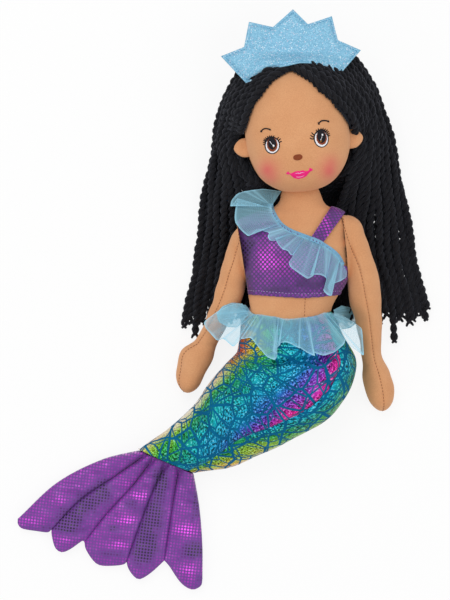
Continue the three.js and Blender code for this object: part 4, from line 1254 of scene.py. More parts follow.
def inside(points, corners):
    """Which points lie inside a closed outline, seen from above."""
    x, y = points[..., 0], points[..., 1]
    found = np.zeros(x.shape, bool)
    for (ax, ay), (bx, by) in zip(corners, corners[1:] + corners[:1]):
        crosses = (ay > y) != (by > y)
        where = ax + (y - ay) / ((by - ay) or 1e-9) * (bx - ax)
        found ^= crosses & (x < where)
    return found


scalp_points, scalp_faces = [], []
for side in (1, -1):
    shell = panel(HEAD_FORM, side, 90, 80, grow=1.7, tuck=0)
    quads = facing(shell["grid"], shell["normal"])
    middle = shell["grid"].reshape(-1, 3)[quads].mean(axis=1)
    kept = ~inside(middle, HAIR_EDGE) if side == 1 else middle[:, 1] > 158
    scalp_faces += (quads[kept] + len(scalp_points)).tolist()
    scalp_points += shell["grid"].reshape(-1, 3).tolist()
scalp_points = np.array(scalp_points)
cap = make("hair_cap", scalp_points, scalp_faces, YARN, {"cloth": scalp_points})
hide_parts("hair_cap_back")
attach(cap, "head")

# Crown: a stiff crown of five points, glitter fabric over foam, stitched round its edge.
# It stands on the hair and leans back with the head; one crease crosses its left side.
CROWN_OUTLINE = [
    (-55.2, 252.3), (-37, 259.4), (-33.1, 279.1), (-14.2, 275.2), (1.6, 289.4), (13.4, 277.6),
    (32.3, 283.9), (37.1, 264.9), (55.2, 257.1), (36.3, 235), (30.8, 238.1), (24.5, 241.3), (15, 245.2),
    (7.1, 245.2), (-3.1, 242.9), (-14.2, 241.3), (-24.4, 235.8), (-35.1, 230.3),
]
CROWN_CREASE = [(-14.6, 276), (-20, 262), (-27, 250), (-31, 241), (-33.5, 232)]


def glitter():
    """Pale blue fabric with fine glitter: flakes 0.6 mm wide, a few of which carry painted glints, pink or
    white.
    """
    made, tree, shader = material("glitter_fabric_pale_blue", {"Metallic": 0.1})
    flakes = {"Vector": stored(tree, "cloth", "Vector"), "Scale": 1 / 0.6}
    grain = add_node(tree, "ShaderNodeTexVoronoi", flakes, voronoi_dimensions="2D")
    odd = add_node(tree, "ShaderNodeSeparateColor", {0: grain.outputs["Color"]}).outputs
    # The flakes' colours: blues that differ at random, and painted glints of pink-grey and white on the
    # brightest few.
    bands = [
        (0.0, "#6eabcb"), (0.3, "#7cb6d4"), (0.6, "#8bc2dd"), (0.86, "#9fcfe4"), (0.94, "#c3c6dc"),
        (0.98, "#d8e8f0"), (1.0, "#d8e8f0"),
    ]
    outputs = {
        "Base Color": colour_bands(tree, odd[0], bands, stepped=True),
        "Roughness": ranged(tree, odd[1], target=(0.4, 0.75)),
        "Normal": bumped(tree, odd[2], 0.5, 0.0003),
    }
    feed(tree, shader, outputs)
    return made


def along_outline(corners, step):
    """Even points round a closed outline, with every corner kept."""
    found = []
    for a, b in zip(corners, corners[1:] + corners[:1]):
        a, b = np.array(a, float), np.array(b, float)
        count = max(int(np.linalg.norm(b - a) / step), 1)
        found += [a + (b - a) * k / count for k in range(count)]
    return np.array(found)


def filled_outline(corners, step):
    """Points and triangles inside an outline, with the number of points that lie on its edge."""
    edge = along_outline(corners, step)
    low, high = edge.min(axis=0), edge.max(axis=0)
    rows = np.arange(low[1], high[1], step * 0.87)
    found = []
    for r, y in enumerate(rows):
        found += [(x, y) for x in np.arange(low[0] + (r % 2) * step / 2, high[0], step)]
    found = np.array(found)
    closed = [tuple(p) for p in edge]
    away = near_line(found, edge.tolist() + [edge[0].tolist()])
    found = found[inside(found, closed) & (away > step * 0.55)]
    flat = [Vector(p) for p in edge] + [Vector(p) for p in found]
    places, _, triangles, *_ = delaunay_2d_cdt(flat, [], [list(range(len(edge)))], 1, 1e-6)
    places = np.array([tuple(p) for p in places])
    return places, [list(t) for t in triangles], len(edge)


def crown_rest(x, y):
    """The height of the middle of the crown's fabric."""
    lean = np.clip((256 - y) / 13, 0, 1)
    lean = lean * lean * (3 - 2 * lean)
    return 60.5 + 15 * lean * np.exp(-((x - 3) ** 2) / 800) + 2.0 * bell(x + 33, 14)


GLITTER = glitter()
flat, triangles, border = filled_outline(CROWN_OUTLINE, 1.15)
depth_in = near_line(flat, CROWN_OUTLINE + CROWN_OUTLINE[:1])
rise = np.clip((depth_in - 1.5) / 3.5, 0, 1)
puff = 0.5 + 0.35 * np.clip(depth_in / 0.8, 0, 1) + 1.5 * rise * (2 - rise)
puff = puff - 0.45 * bell(depth_in - 1.9, 0.6)
puff = puff - 0.9 * bell(near_line(flat, CROWN_CREASE), 1.1) * (depth_in > 0.6)
sheet_place = np.column_stack([flat, flat[:, 0] * 0])
middle = crown_rest(flat[:, 0], flat[:, 1])
bumps = 0.35 * lumps(sheet_place, 22, 71)
crown_points = np.vstack([np.column_stack([flat, middle + up + bumps]) for up in (puff, -puff)])
first = len(flat)
rim = [[k, (k + 1) % border, first + (k + 1) % border, first + k][::-1] for k in range(border)]
crown_faces = triangles + [[first + k for k in reversed(t)] for t in triangles] + rim
crown_place = np.vstack([sheet_place, sheet_place + 40])
crown = make("crown_fabric", crown_points, crown_faces, GLITTER, {"cloth": crown_place})
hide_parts("crown_front_fabric", "crown_stiffener", "crown_back_fabric")
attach(crown, "head")
CROWN_THREAD = thread("spun_polyester_thread_sky", "#3f9ad0")
ring = along_outline(CROWN_OUTLINE, 0.8)
step_in = np.roll(ring, -1, axis=0) - np.roll(ring, 1, axis=0)
step_in = np.column_stack([step_in[:, 1], -step_in[:, 0]]) / np.linalg.norm(step_in, axis=1)[:, None]
corners = [tuple(p) for p in ring]
turned = 1 if inside((ring + step_in * 0.8), corners).mean() > 0.5 else -1
sewing = ring + step_in * turned * 1.9
keep = inside(sewing, corners) & (near_line(sewing, ring.tolist() + [ring[0].tolist()]) > 1.6)
sewing = sewing[keep]
crown_path = np.column_stack([sewing, crown_rest(sewing[:, 0], sewing[:, 1]) + 1.0])
crown_sewn = stitches("crown_thread", crown_path, CROWN_THREAD, pitch=2.4, length=1.6, radius=0.2)
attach(crown_sewn, "head")

# One-shoulder top: foil-dot jersey round the chest, with a strap over the other shoulder.
# Its edges are turned in, and its hem is topstitched.
HEM = [(-60, 64), (-33, 64), (-12, 62.5), (11, 61.5), (32, 63), (60, 66.5)]
NECKLINE = [
    (60, 80), (42, 87.5), (36, 95), (23, 104), (13, 108), (1, 113), (-11, 121), (-16, 136), (-17, 142),
    (-60, 142.5),
]
# Painted highlights and painted shade on the top's dots: each patch's place, reach and strength.
TOP_PAINTED_LIGHT = [
    (-20, 98, 12, 8, 0.32), (-11, 88, 14, 8, 0.28), (-24, 90, 8, 8, 0.2), (-35, 100, 7, 14, -0.6),
    (12, 74, 12, 5, -0.25), (5, 88, 8, 6, 0.15), (-36, 76, 5, 10, -0.35), (30, 72, 8, 5, -0.3),
    (-12, 68, 16, 3, -0.3), (-2, 104, 10, 5, -0.15),
]
FOIL_DOTS_TOP = foil_dots("foil_dot_jersey_top", 0.785, 2.65, ("#3f2259", "#58337a"))
hem_line, neck_line = smooth(HEM, np.linspace(0, 1, 60)), np.array(sorted(NECKLINE), float)
HEM_STITCHED = 3.4
halves, shirt_place, shirt_painted_light = [], [], []
for side in (1, -1):
    shell = panel(TORSO, side, 400, 120, grow=1.5, tuck=0)
    x, y = shell["grid"][..., 0], shell["grid"][..., 1]
    low = np.argmax(y > np.interp(x, hem_line[:, 0], hem_line[:, 1]), axis=0)
    past = (y > np.interp(x, neck_line[:, 0], neck_line[:, 1])) & (np.arange(len(y))[:, None] > low + 4)
    high = np.where(past.any(axis=0), np.argmax(past, axis=0), len(y) - 1)
    cut = trimmed(shell, low.astype(float), high.astype(float), 114)
    grid = melted(cut["grid"], cut["normal"], bare_arms) if side == 1 else cut["grid"]
    out = cut["normal"]
    steps = np.linalg.norm(np.diff(grid, axis=0), axis=2)
    arc = np.concatenate([np.zeros((1, grid.shape[1])), np.cumsum(steps, axis=0)])
    puckers = 0.22 * np.sin(grid[..., 0] / 1.2) * bell(arc - HEM_STITCHED, 2)
    pressed = 0.45 * bell(arc - HEM_STITCHED, 0.7)
    ripple = 0.3 * lumps(grid, 14, 81) * np.clip(arc / 8, 0, 1) - pressed + puckers
    grid = grid + out * ripple[..., None]
    start = [grid[:1] - out[:1] * depth for depth in (1.4, 0.45)]
    end = [grid[-1:] - out[-1:] * depth for depth in (0.45, 1.4)]
    grid = np.concatenate([*start, grid, *end])
    out = np.concatenate([out[:1], out[:1], out, out[-1:], out[-1:]])
    for place, plane in SHOULDERS.values():
        grid = hold_off(grid, place, plane, 0.05, soft=0.3)
    spot = np.zeros(grid.shape)
    spot[..., 0] = grid[..., 1]
    spot[..., 1] = grid[..., 0] * 1.1
    # The painted light on the top's dots, from the patches above, with a little at random.
    level = patches(grid, TOP_PAINTED_LIGHT, 0.38) + 0.06 * lumps(grid, 9, 83)
    halves.append((grid, out))
    shirt_place += spot.reshape(-1, 3).tolist()
    shirt_painted_light += level.ravel().tolist()
    if side == 1:
        shirt_front, shirt_arc = grid[2:-2], arc
shirt_values = {"cloth": shirt_place, "gleam": shirt_painted_light}
shirt = make("one_shoulder_top", *joined(halves), FOIL_DOTS_TOP, shirt_values)
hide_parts("bodice")
TOPSTITCH = thread("spun_polyester_thread_lavender", "#c9b3e6")
hem_path, rows = [], np.arange(len(shirt_arc))
for j in range(6, shirt_front.shape[1] - 6):
    row = np.interp(HEM_STITCHED, shirt_arc[:, j], rows)
    hem_path.append(read_off(shirt_front[:, j], rows, row)[0])
hem_sewn = stitches("hem_topstitch_thread", hem_path, TOPSTITCH, pitch=2.6, length=1.7, radius=0.2)
shell_tree = tree_of(*[panel(TORSO, side, 160, 100, grow=2.6, tuck=0)["grid"] for side in (1, -1)])


def softened(rows, times):
    """Draws each row but the first and the last towards its neighbours, a number of times."""
    for _ in range(times):
        rows[1:-1] = (rows[:-2] + 2 * rows[1:-1] + rows[2:]) / 4
    return rows


def strap_line(start, end):
    """From the neckline over the shoulder and back to below the neckline, on a slightly larger chest."""
    start, end = np.array(start, float), np.array(end, float)
    reach = 1.0
    while top_of(shell_tree, *(start + (end - start) * reach), missing=None) is None:
        reach -= 0.004
    line = []
    for angle in np.linspace(0, math.pi, 71):
        spot = start + (end - start) * reach * math.sin(angle)
        side = 1 if angle <= math.pi / 2 else -1
        hit = shell_tree.ray_cast(Vector((*spot, SKY * side)), Vector((0, 0, -side)))[0]
        line.append((*spot, hit.z))
    return softened(np.array(line), 3)


def thick_strip(name, rows, thick, finish, values):
    """A strip of cloth from rows of points across it, with rounded edges and a face on both sides."""
    grid = np.array(rows)
    like = np.zeros(grid.shape)
    like[: len(grid) // 3, :, 2] = 1
    normal = outward(grid, like)
    edge = np.linspace(0, 1, grid.shape[1])
    body = thick / 2 * (1 - np.abs(2 * edge - 1) ** 6) ** 0.5
    top, under = grid + normal * body[None, :, None], grid - normal * body[None, :, None]
    ring = np.concatenate([top, under[:, ::-1]], axis=1)
    outer = np.concatenate([normal, -normal[:, ::-1]], axis=1).reshape(-1, 3)
    columns = ring.shape[1]
    i, j = np.meshgrid(np.arange(len(grid) - 1), np.arange(columns), indexing="ij")
    a, b = i * columns + j, i * columns + (j + 1) % columns
    quads = np.stack([a, a + columns, b + columns, b], axis=-1).reshape(-1, 4)
    flat = ring.reshape(-1, 3)
    cross = np.cross(flat[quads[:, 1]] - flat[quads[:, 0]], flat[quads[:, 3]] - flat[quads[:, 0]])
    if (cross * outer[quads[:, 0]]).sum() < 0:
        quads = quads[:, ::-1]
    place = np.zeros(ring.shape)
    place[..., 0] = run_of(grid[:, grid.shape[1] // 2])[:, None]
    place[..., 1] = np.concatenate([edge, edge[::-1]])[None, :] * np.linalg.norm(grid[0, -1] - grid[0, 0])
    extra = {"cloth": place}
    for key, value in values.items():
        both = np.broadcast_to(value, grid.shape[:2])
        extra[key] = np.concatenate([both, both[:, ::-1]], axis=1)
    return make(name, ring, quads, finish, extra, weld=False)


strap_starts = np.linspace((14.2, 107), (23, 102.4), 13)
strap_ends = np.linspace((34.5, 137.5), (46.5, 133.5), 13)
strap_rows = np.array([strap_line(a, b) for a, b in zip(strap_starts, strap_ends)]).transpose(1, 0, 2)
# Painted light on the strap's dots, a little uneven at random.
strap_painted_light = 0.5 + 0.2 * lumps(strap_rows, 12, 85)
strap = thick_strip("shoulder_strap_cloth", strap_rows, 1.4, FOIL_DOTS_TOP, {"gleam": strap_painted_light})
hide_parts("shoulder_strap")
for piece in (shirt, hem_sewn, strap):
    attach(piece, "torso")

# Frills: pale blue nylon tulle, gathered along one edge and folded by hand into soft pleats. The folds
# are drawn from the gathers to a hem that doubles back, then laid on what is under them. The band
# along the neckline is folded tulle, sewn down in purple.
NECK_BAND = [
    (-15.6, 136.6), (-13.6, 129), (-8.3, 120), (-0.2, 114.2), (12.6, 109.2), (23.4, 104.6), (35.6, 96.4),
    (41.4, 88.2),
]


def tulle(name, least, colour):
    """Soft nylon tulle, pale blue: a net of fine threads about 1.2 mm apart, half see-through."""
    fixed = {
        "Roughness": 0.6, "Specular IOR Level": 0.3, "Sheen Weight": 0.25, "Sheen Tint": linear("#dff3ff"),
    }
    made, tree, shader = material(name, {"Base Color": linear(colour), **fixed})
    net = {"Vector": stored(tree, "cloth", "Vector"), "Scale": 1 / 1.2, "Randomness": 0.35}
    mesh = add_node(tree, "ShaderNodeTexVoronoi", net, voronoi_dimensions="2D", feature="DISTANCE_TO_EDGE")
    cover = ranged(tree, mesh.outputs["Distance"], (0.05, 0.22), (least + 0.12, least))
    inputs = {0: stored(tree, "edge"), 1: 0.62, 2: cover}
    solid = add_node(tree, "ShaderNodeMath", inputs, operation="MULTIPLY_ADD", use_clamp=True)
    feed(tree, shader, {"Alpha": solid.outputs[0]})
    return made


TULLE = tulle("nylon_tulle_pale_blue", 0.28, "#a0dcf2")


def relief(trees, low, high, floor, slope):
    """Heights of a cloth laid over meshes: the highest of them near each spot, less its fall on the way."""
    step = 1.5
    xs, ys = np.arange(low[0], high[0] + step, step), np.arange(low[1], high[1] + step, step)
    height = np.full((len(xs), len(ys)), float(floor))
    for i, x in enumerate(xs):
        for j, y in enumerate(ys):
            height[i, j] = max(floor, *[top_of(ground, x, y, missing=floor) for ground in trees])
    for _ in range(30):
        wide = np.pad(height, 1, mode="edge")
        for dx, dy in ((0, 1), (2, 1), (1, 0), (1, 2), (0, 0), (2, 2), (0, 2), (2, 0)):
            fall = slope * step * math.hypot(dx - 1, dy - 1)
            height = np.maximum(height, wide[dx : dx + len(xs), dy : dy + len(ys)] - fall)
    for _ in range(2):
        wide = np.pad(height, 1, mode="edge")
        beside = wide[:-2, 1:-1] + wide[2:, 1:-1] + wide[1:-1, :-2] + wide[1:-1, 2:]
        height = np.maximum(height, beside / 4)

    def read(points):
        u = np.clip((points[..., 0] - xs[0]) / step, 0, len(xs) - 1.001)
        v = np.clip((points[..., 1] - ys[0]) / step, 0, len(ys) - 1.001)
        i, j = u.astype(int), v.astype(int)
        f, g = u - i, v - j
        low_side = height[i, j] * (1 - g) + height[i, j + 1] * g
        high_side = height[i + 1, j] * (1 - g) + height[i + 1, j + 1] * g
        return low_side * (1 - f) + high_side * f

    return read


FRILL_ROWS = 40
FRILL_FALL = 25


def frill(name, folds, ground, finish, seam=None, columns=760, lift=1.0):
    """A gathered frill from its fold lines, in order along the cloth. Each is a gather's x and y,
    the hem's x and y, and how high the fold stands."""
    folds = np.array(folds, float)
    steps, stands = np.diff(folds[:, 2:4], axis=0), np.diff(folds[:, 4])
    reach = np.concatenate([[0], np.cumsum(np.linalg.norm(steps, axis=1) + 2.0)])
    t = np.linspace(0, reach[-1], columns)
    line = read_off(folds, reach, t)
    back = (steps[1:] * steps[:-1]).sum(axis=1) < 0
    bent = back | (stands[1:] * stands[:-1] < 0)
    strength = np.where(back, 1.0, 0.6)
    ridge = sum(bell(t - at, 2.2) * much for at, much in zip(reach[1:-1][bent], strength[bent]))
    softened(line, 28)
    start, edge, height = line[:, :2], line[:, 2:4], line[:, 4]
    if seam is not None:
        course = smooth(seam, np.linspace(0, 1, 400))
        start = course[np.argmin(np.linalg.norm(start[:, None] - course[None], axis=2), axis=1)]
        softened(start, 20)
    v = np.linspace(0, 1, FRILL_ROWS)[:, None]
    plan = start[None] * (1 - v[..., None]) + edge[None] * v[..., None]
    pleat = np.sin(t * 2 * math.pi / 4.6 + 2.4 * np.sin(t / 8.3)) * (0.6 + 0.4 * np.sin(t / 5.9))
    raised = height * (v**0.75) + 0.6 * np.sin(math.pi * v)
    raised = raised + 0.7 * (1 + pleat) * (1 - v) * np.clip(v * 6, 0, 1)
    z = ground(plan) + lift + raised
    softened(z.T, 3)
    grid = np.dstack([plan, z])
    place = np.zeros(grid.shape)
    place[..., 0] = t
    place[..., 1] = v * np.linalg.norm(edge - start, axis=1).mean()
    normal = outward(grid, (0, 0, 1))
    hem, root = bell((1 - v) * FRILL_FALL, 0.9), bell(v * FRILL_FALL, 3)
    seen = hem * 0.75 + 0.4 * (1 - np.abs(normal[..., 2])) ** 1.5 + 0.3 * root
    seen = seen + 0.6 * ridge * np.clip(v * 4, 0, 1) + 0.2 * np.clip(pleat, 0, 1) ** 3 * (1 - v)
    seen = np.clip(seen + 0.08 * np.sin(t / 4.4 + 2.2 * np.sin(t / 9.3)), 0, 1)
    made = make(name, grid, facing(grid, normal), finish, {"cloth": place, "edge": seen}, weld=False)
    hem_run = np.linalg.norm(np.diff(grid[-1], axis=0), axis=1).sum()
    fall = np.linalg.norm(np.diff(grid, axis=0), axis=2).sum(axis=0).mean()
    area = sum(polygon.area for polygon in made.data.polygons)
    return made, {"flat": (hem_run * MM, fall * MM), "area": area, "held": "gathered"}


def sideways(line):
    """Unit directions to the left of a flat line, at each of its points."""
    way = np.gradient(line, axis=0)
    return np.column_stack([-way[:, 1], way[:, 0]]) / np.linalg.norm(way, axis=1)[:, None]


BAND_ROWS = 160


def laid_strip(path, width, ground, lift):
    """Rows of points across a strip that lies on what is under it."""
    line = smooth(path, np.linspace(0, 1, BAND_ROWS))
    offsets = np.linspace(-width / 2, width / 2, 9)
    plan = line[:, None] + sideways(line)[:, None] * offsets[None, :, None]
    z = np.array([[top_of(ground, *spot, missing=np.nan) for spot in row] for row in plan])
    for column in z.T:
        found = np.flatnonzero(~np.isnan(column))
        column[:] = np.interp(np.arange(BAND_ROWS), found, column[found])
    return np.dstack([plan, softened(z, 6) + lift])


NECK_FOLDS = [
    (-15.5, 134, -7, 146.7, 0), (-16.2, 134, -21.8, 148.8, 1), (-17.2, 134, -29.5, 147.9, 3),
    (-18.3, 134, -35.8, 147, 1.5), (-19, 133.3, -42.2, 145.3, 2), (-19.3, 133.3, -47.1, 139.3, 2.5),
    (-19.6, 133, -47.9, 133.9, 3), (-19.3, 131.9, -41.5, 142.3, 0.5), (-16.9, 127.7, -43.7, 132.6, 1),
    (-14.8, 124.9, -44.4, 126.3, 1.5), (-12.7, 122.1, -43.9, 121.4, 2), (-10.6, 120, -39.4, 115.1, 3.5),
    (-9.9, 119.3, -33.4, 109.7, 4), (-7, 117.2, -27.4, 115.9, 1), (-5.3, 115.8, -16.9, 112.8, 2),
    (-2.8, 114.4, -18.8, 110, 4), (-0, 113, -16.9, 106.3, 3), (2.1, 112.3, -11.3, 106.6, 1.5),
    (2.4, 112.3, -13, 109.4, 0.5), (4.2, 111.6, -10.6, 103.8, 2), (6.3, 110.9, -7, 99.5, 3),
    (7.7, 110.5, -2.8, 98.6, 2), (11.2, 109.1, -0.4, 94.7, 1), (10.5, 109.4, 1.7, 95.8, 0.3),
    (11.2, 108.7, -2.5, 88.7, 4), (13.3, 108, -0.4, 85.2, 4.5), (16.8, 105.9, 8.4, 79.2, 5),
    (20.3, 102.4, 12.6, 76.3, 5), (21.8, 101, 18.2, 79.4, 2.5), (21, 101.7, 14, 79.9, 1),
    (22.5, 100.3, 23.2, 79.9, 1.5), (25.3, 98.9, 27.4, 77.8, 2), (29.5, 96.1, 28.4, 75.7, 1),
    (31.6, 94.7, 25.1, 67.4, 4), (34.4, 91.9, 29.5, 63.4, 4.5), (35.8, 90.5, 33.3, 63.4, 4),
    (35.1, 91.2, 28.1, 70.8, 0.5), (37.2, 89.1, 39.3, 75, 3), (39.3, 87, 44.6, 78.2, 1.5),
    (40.6, 86.3, 44.4, 82.8, 0.5),
]
chest = [
    surface("torso_front_skin", "one_shoulder_top"), surface("arm_left_outer_skin", "arm_left_inner_skin"),
]
chest_ground = relief(chest, (-56, 56), (56, 158), 34.0, slope=0.7)
neck_frill, neck_cut = frill("neckline_frill", NECK_FOLDS, chest_ground, TULLE, seam=NECK_BAND)
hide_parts("neckline_ruffle")
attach(neck_frill, "torso")

WAIST_FOLDS = [
    (-32.3, 51.8, -35.3, 56, 0), (-32.1, 51.2, -46.5, 56.6, 2), (-31.7, 50.9, -57.6, 51.2, 3),
    (-31.3, 50.5, -69.3, 42.5, 4), (-30.7, 49.9, -67.9, 37.6, 4), (-30.3, 49.7, -63.6, 33, 3),
    (-30.1, 49.5, -58.1, 27, 3), (-29.5, 49.1, -53.5, 29.5, 1), (-29.1, 48.9, -45.4, 22.4, 2),
    (-28.7, 48.7, -40.4, 27.5, 1.5), (-28.3, 48.7, -35.8, 34.6, 0.5), (-26.2, 48.7, -40.2, 28.7, 2.5),
    (-24.2, 48.7, -35.3, 29.7, 3), (-21.2, 48.2, -31.8, 30.5, 2.5), (-18.2, 47.7, -25.2, 22.4, 3),
    (-15.1, 47.2, -19.2, 15.4, 4), (-13.1, 47.2, -12.9, 12.7, 5.5), (-9.1, 46.2, -10.6, 17.4, 5),
    (-10.1, 46.4, -15.6, 20.4, 2), (-6, 45.5, -7.8, 25, 2.5), (-6.5, 45.5, -11.6, 25.5, 1),
    (-1, 45.2, -4.5, 27.3, 2), (3.1, 45.5, 1.1, 25, 2.5), (7.6, 46.2, 7.3, 21.6, 4),
    (6.9, 46, 4.6, 24, 2), (10.1, 46.2, 13.2, 18.2, 3), (12.4, 46.4, 19.2, 15.8, 4),
    (13.7, 46.5, 15.7, 19.4, 2), (17.7, 47.2, 25.3, 16.2, 3), (20.3, 47.7, 34.4, 18.9, 3.5),
    (24.3, 49.2, 43, 25.8, 4), (25.2, 49.6, 43, 29, 1), (26.5, 50, 46, 24.5, 2),
    (28.1, 50.1, 58.6, 15.2, 3.5), (29, 50.1, 58, 27, 3), (29.8, 49.9, 57.5, 37.5, 3),
    (30.6, 49.9, 47, 44.6, 1), (31.2, 50.1, 39, 49, 0),
]
hips = [
    surface("torso_front_skin", "tail_front_skin"), surface("arm_left_outer_skin", "arm_left_inner_skin"),
    surface("arm_right_outer_skin", "arm_right_inner_skin"),
]
band_ground = surface("torso_front_skin", "one_shoulder_top", "shoulder_strap_cloth")
band_rows = laid_strip(NECK_BAND, 3.6, band_ground, 1.1)
band_rows[..., 2] += 0.25 * np.sin(np.arange(BAND_ROWS) * 1.05)[:, None]
BAND = tulle("nylon_tulle_folded", 0.55, "#74a9c8")
band = thick_strip("neckline_band", band_rows, 1.5, BAND, {"edge": 0.9})
BAND_THREAD = thread("spun_polyester_thread_purple", "#6d5a9c")
band_path = band_rows[3:-3, 3] + np.array([0, 0, 0.8])
band_sewn = stitches(
    "neckline_band_thread", band_path, BAND_THREAD, pitch=3.0, length=2.3, radius=0.38, slant=0.45,
)
for piece in (band, band_sewn):
    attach(piece, "torso")

hip_ground = relief(hips, (-78, 4), (72, 66), 14.0, slope=0.8)
waist_frill, waist_cut = frill("waist_frill", WAIST_FOLDS, hip_ground, TULLE)
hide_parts("waist_ruffle")

SIDE_FOLDS = {
    "left": [
        (-35, 52.5, -38, 57, 0), (-35, 52, -46, 58, 0.4), (-35, 51.5, -54, 55, 0.4),
        (-34.6, 51, -59, 49, 0.6), (-34.2, 50.5, -57, 42.5, 0.5), (-33.8, 50, -50, 38.5, 0.5),
        (-33.4, 49.6, -43, 38, 0.3), (-33, 49.4, -39, 41, 0),
    ],
    "right": [
        (35, 52, 42, 55.5, 0), (35.5, 51, 48, 54.5, 0.8), (35.6, 50.5, 54, 52.5, 0.3),
        (35.6, 50, 57.5, 47, 1.2), (35.6, 49, 55.5, 41, 0.5), (35.6, 48, 50, 37, 1.0),
        (35.4, 47, 43, 36, 0),
    ],
}
DOUBLED = tulle("nylon_tulle_doubled", 0.58, "#93cde2")
right_ground = relief([surface("torso_front_skin")], (20, 24), (66, 62), 5.0, slope=2.0)
gathered = [(waist_frill, waist_cut)]
gathered.append(frill("waist_frill_left", SIDE_FOLDS["left"], hip_ground, DOUBLED, columns=220, lift=0.3))
gathered.append(
    frill("waist_frill_right", SIDE_FOLDS["right"], right_ground, DOUBLED, columns=200, lift=1.6)
)
for piece, cut in gathered:
    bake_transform(piece)

# Face: embroidered in rayon thread over the velour. Places are across and up from the middle of the head.
# Each patch of satin stitch stands about 0.4 mm proud.
face_top = surface("head_face_skin")
THREAD_PITCH = 0.45
# At scale 1 the wave texture repeats every 0.314 mm.
WAVE_LENGTH = 0.314


def satin(name, colour, turn=0.0, shade=0.8):
    """Rayon embroidery thread in satin stitch: glossy, with fine parallel lines of painted shade between its
    rows.
    """
    made, tree, shader = material(name, {"Roughness": 0.5, "Specular IOR Level": 0.15})
    turned = spun(tree, stored(tree, "cloth", "Vector"), turn)
    wave = {"Vector": turned, "Scale": WAVE_LENGTH / THREAD_PITCH, "Distortion": 0.6, "Detail": 1.0}
    rows = add_node(tree, "ShaderNodeTexWave", wave, bands_direction="X").outputs["Fac"]
    # Painted shade in the grooves between the rows of stitches: the thread's colour dimmed to a share.
    tone = mixed(tree, rows, darker(colour, shade), colour)
    feed(tree, shader, {"Base Color": tone, "Normal": bumped(tree, rows, 0.5, 0.0002)})
    return made


def on_face(flat):
    """Points across and up from the head's middle: their places from above, and the face's height there."""
    places = np.array([on_head(u, v) for u, v in flat])
    return places, np.array([top_of(face_top, x, y, missing=60) for x, y in places])


def stitched(name, outline, finish, lift=0.0, thick=0.4, step=0.42):
    """A patch of satin stitch inside an outline on the face."""
    flat, triangles, border = filled_outline([tuple(p) for p in outline], step)
    depth_in = near_line(flat, np.vstack([outline, outline[:1]]))
    places, ground = on_face(flat)
    rise = lift + thick * np.sqrt(np.clip(depth_in / 0.45, 0, 1))
    rise[:border] = -0.12
    points = np.column_stack([places, ground + rise])
    place = np.column_stack([flat, flat[:, 0] * 0])
    patch = make(name, points, triangles, finish, {"cloth": place}, weld=False)
    flip = bmesh.new()
    flip.from_mesh(patch.data)
    flip.normal_update()
    if sum(face.normal.z for face in flip.faces) < 0:
        bmesh.ops.reverse_faces(flip, faces=flip.faces)
    flip.to_mesh(patch.data)
    flip.free()
    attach(patch, "head")
    return patch


def oval(across, up, wide, high, turn=0.0, power=2.0, count=44):
    """The outline of an oval, with its half width and half height."""
    angle = np.linspace(0, 2 * math.pi, count, endpoint=False)
    x, y = wide * squared(np.cos(angle), 2 / power), high * squared(np.sin(angle), 2 / power)
    c, s = math.cos(turn), math.sin(turn)
    return np.column_stack([across + x * c - y * s, up + x * s + y * c])


def stroke(line, thick, ends=(0.5, 0.5)):
    """The outline of a line of stitches, thick in the middle and a share of that at its ends."""
    t = np.linspace(0, 1, 18)
    line = smooth(line, t)
    size = thick / 2 * np.interp(t, [0, 0.3, 0.7, 1], [ends[0], 1, 1, ends[1]])
    off = sideways(line) * size[:, None]
    return np.vstack([line + off, (line - off)[::-1]])


def sewn_lines(name, lines, finish):
    """Lines of thread over the face, each from its points and its half thickness at both ends."""
    share, angle = np.linspace(0, 1, 22), np.linspace(0, 2 * math.pi, 9)
    threads = []
    for line, first, last in lines:
        places, ground = on_face(smooth(line, share))
        path = np.column_stack([places, ground + 0.15])
        along = np.gradient(path, axis=0)
        along /= np.linalg.norm(along, axis=1)[:, None]
        side = np.cross(along, (0, 0, 1))
        side /= np.linalg.norm(side, axis=1)[:, None]
        up = np.cross(side, along)
        size = (first + (last - first) * share) * np.clip(1 - np.abs(2 * share - 1) ** 12, 0.02, 1) ** 0.5
        spokes = np.cos(angle)[None, :, None] * side[:, None] + np.sin(angle)[None, :, None] * up[:, None]
        ring = size[:, None, None] * spokes + path[:, None]
        threads.append((ring, ring - path[:, None]))
    points, faces = joined(threads)
    made = make(name, points, faces, finish, {"cloth": np.array(points)})
    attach(made, "head")
    return made


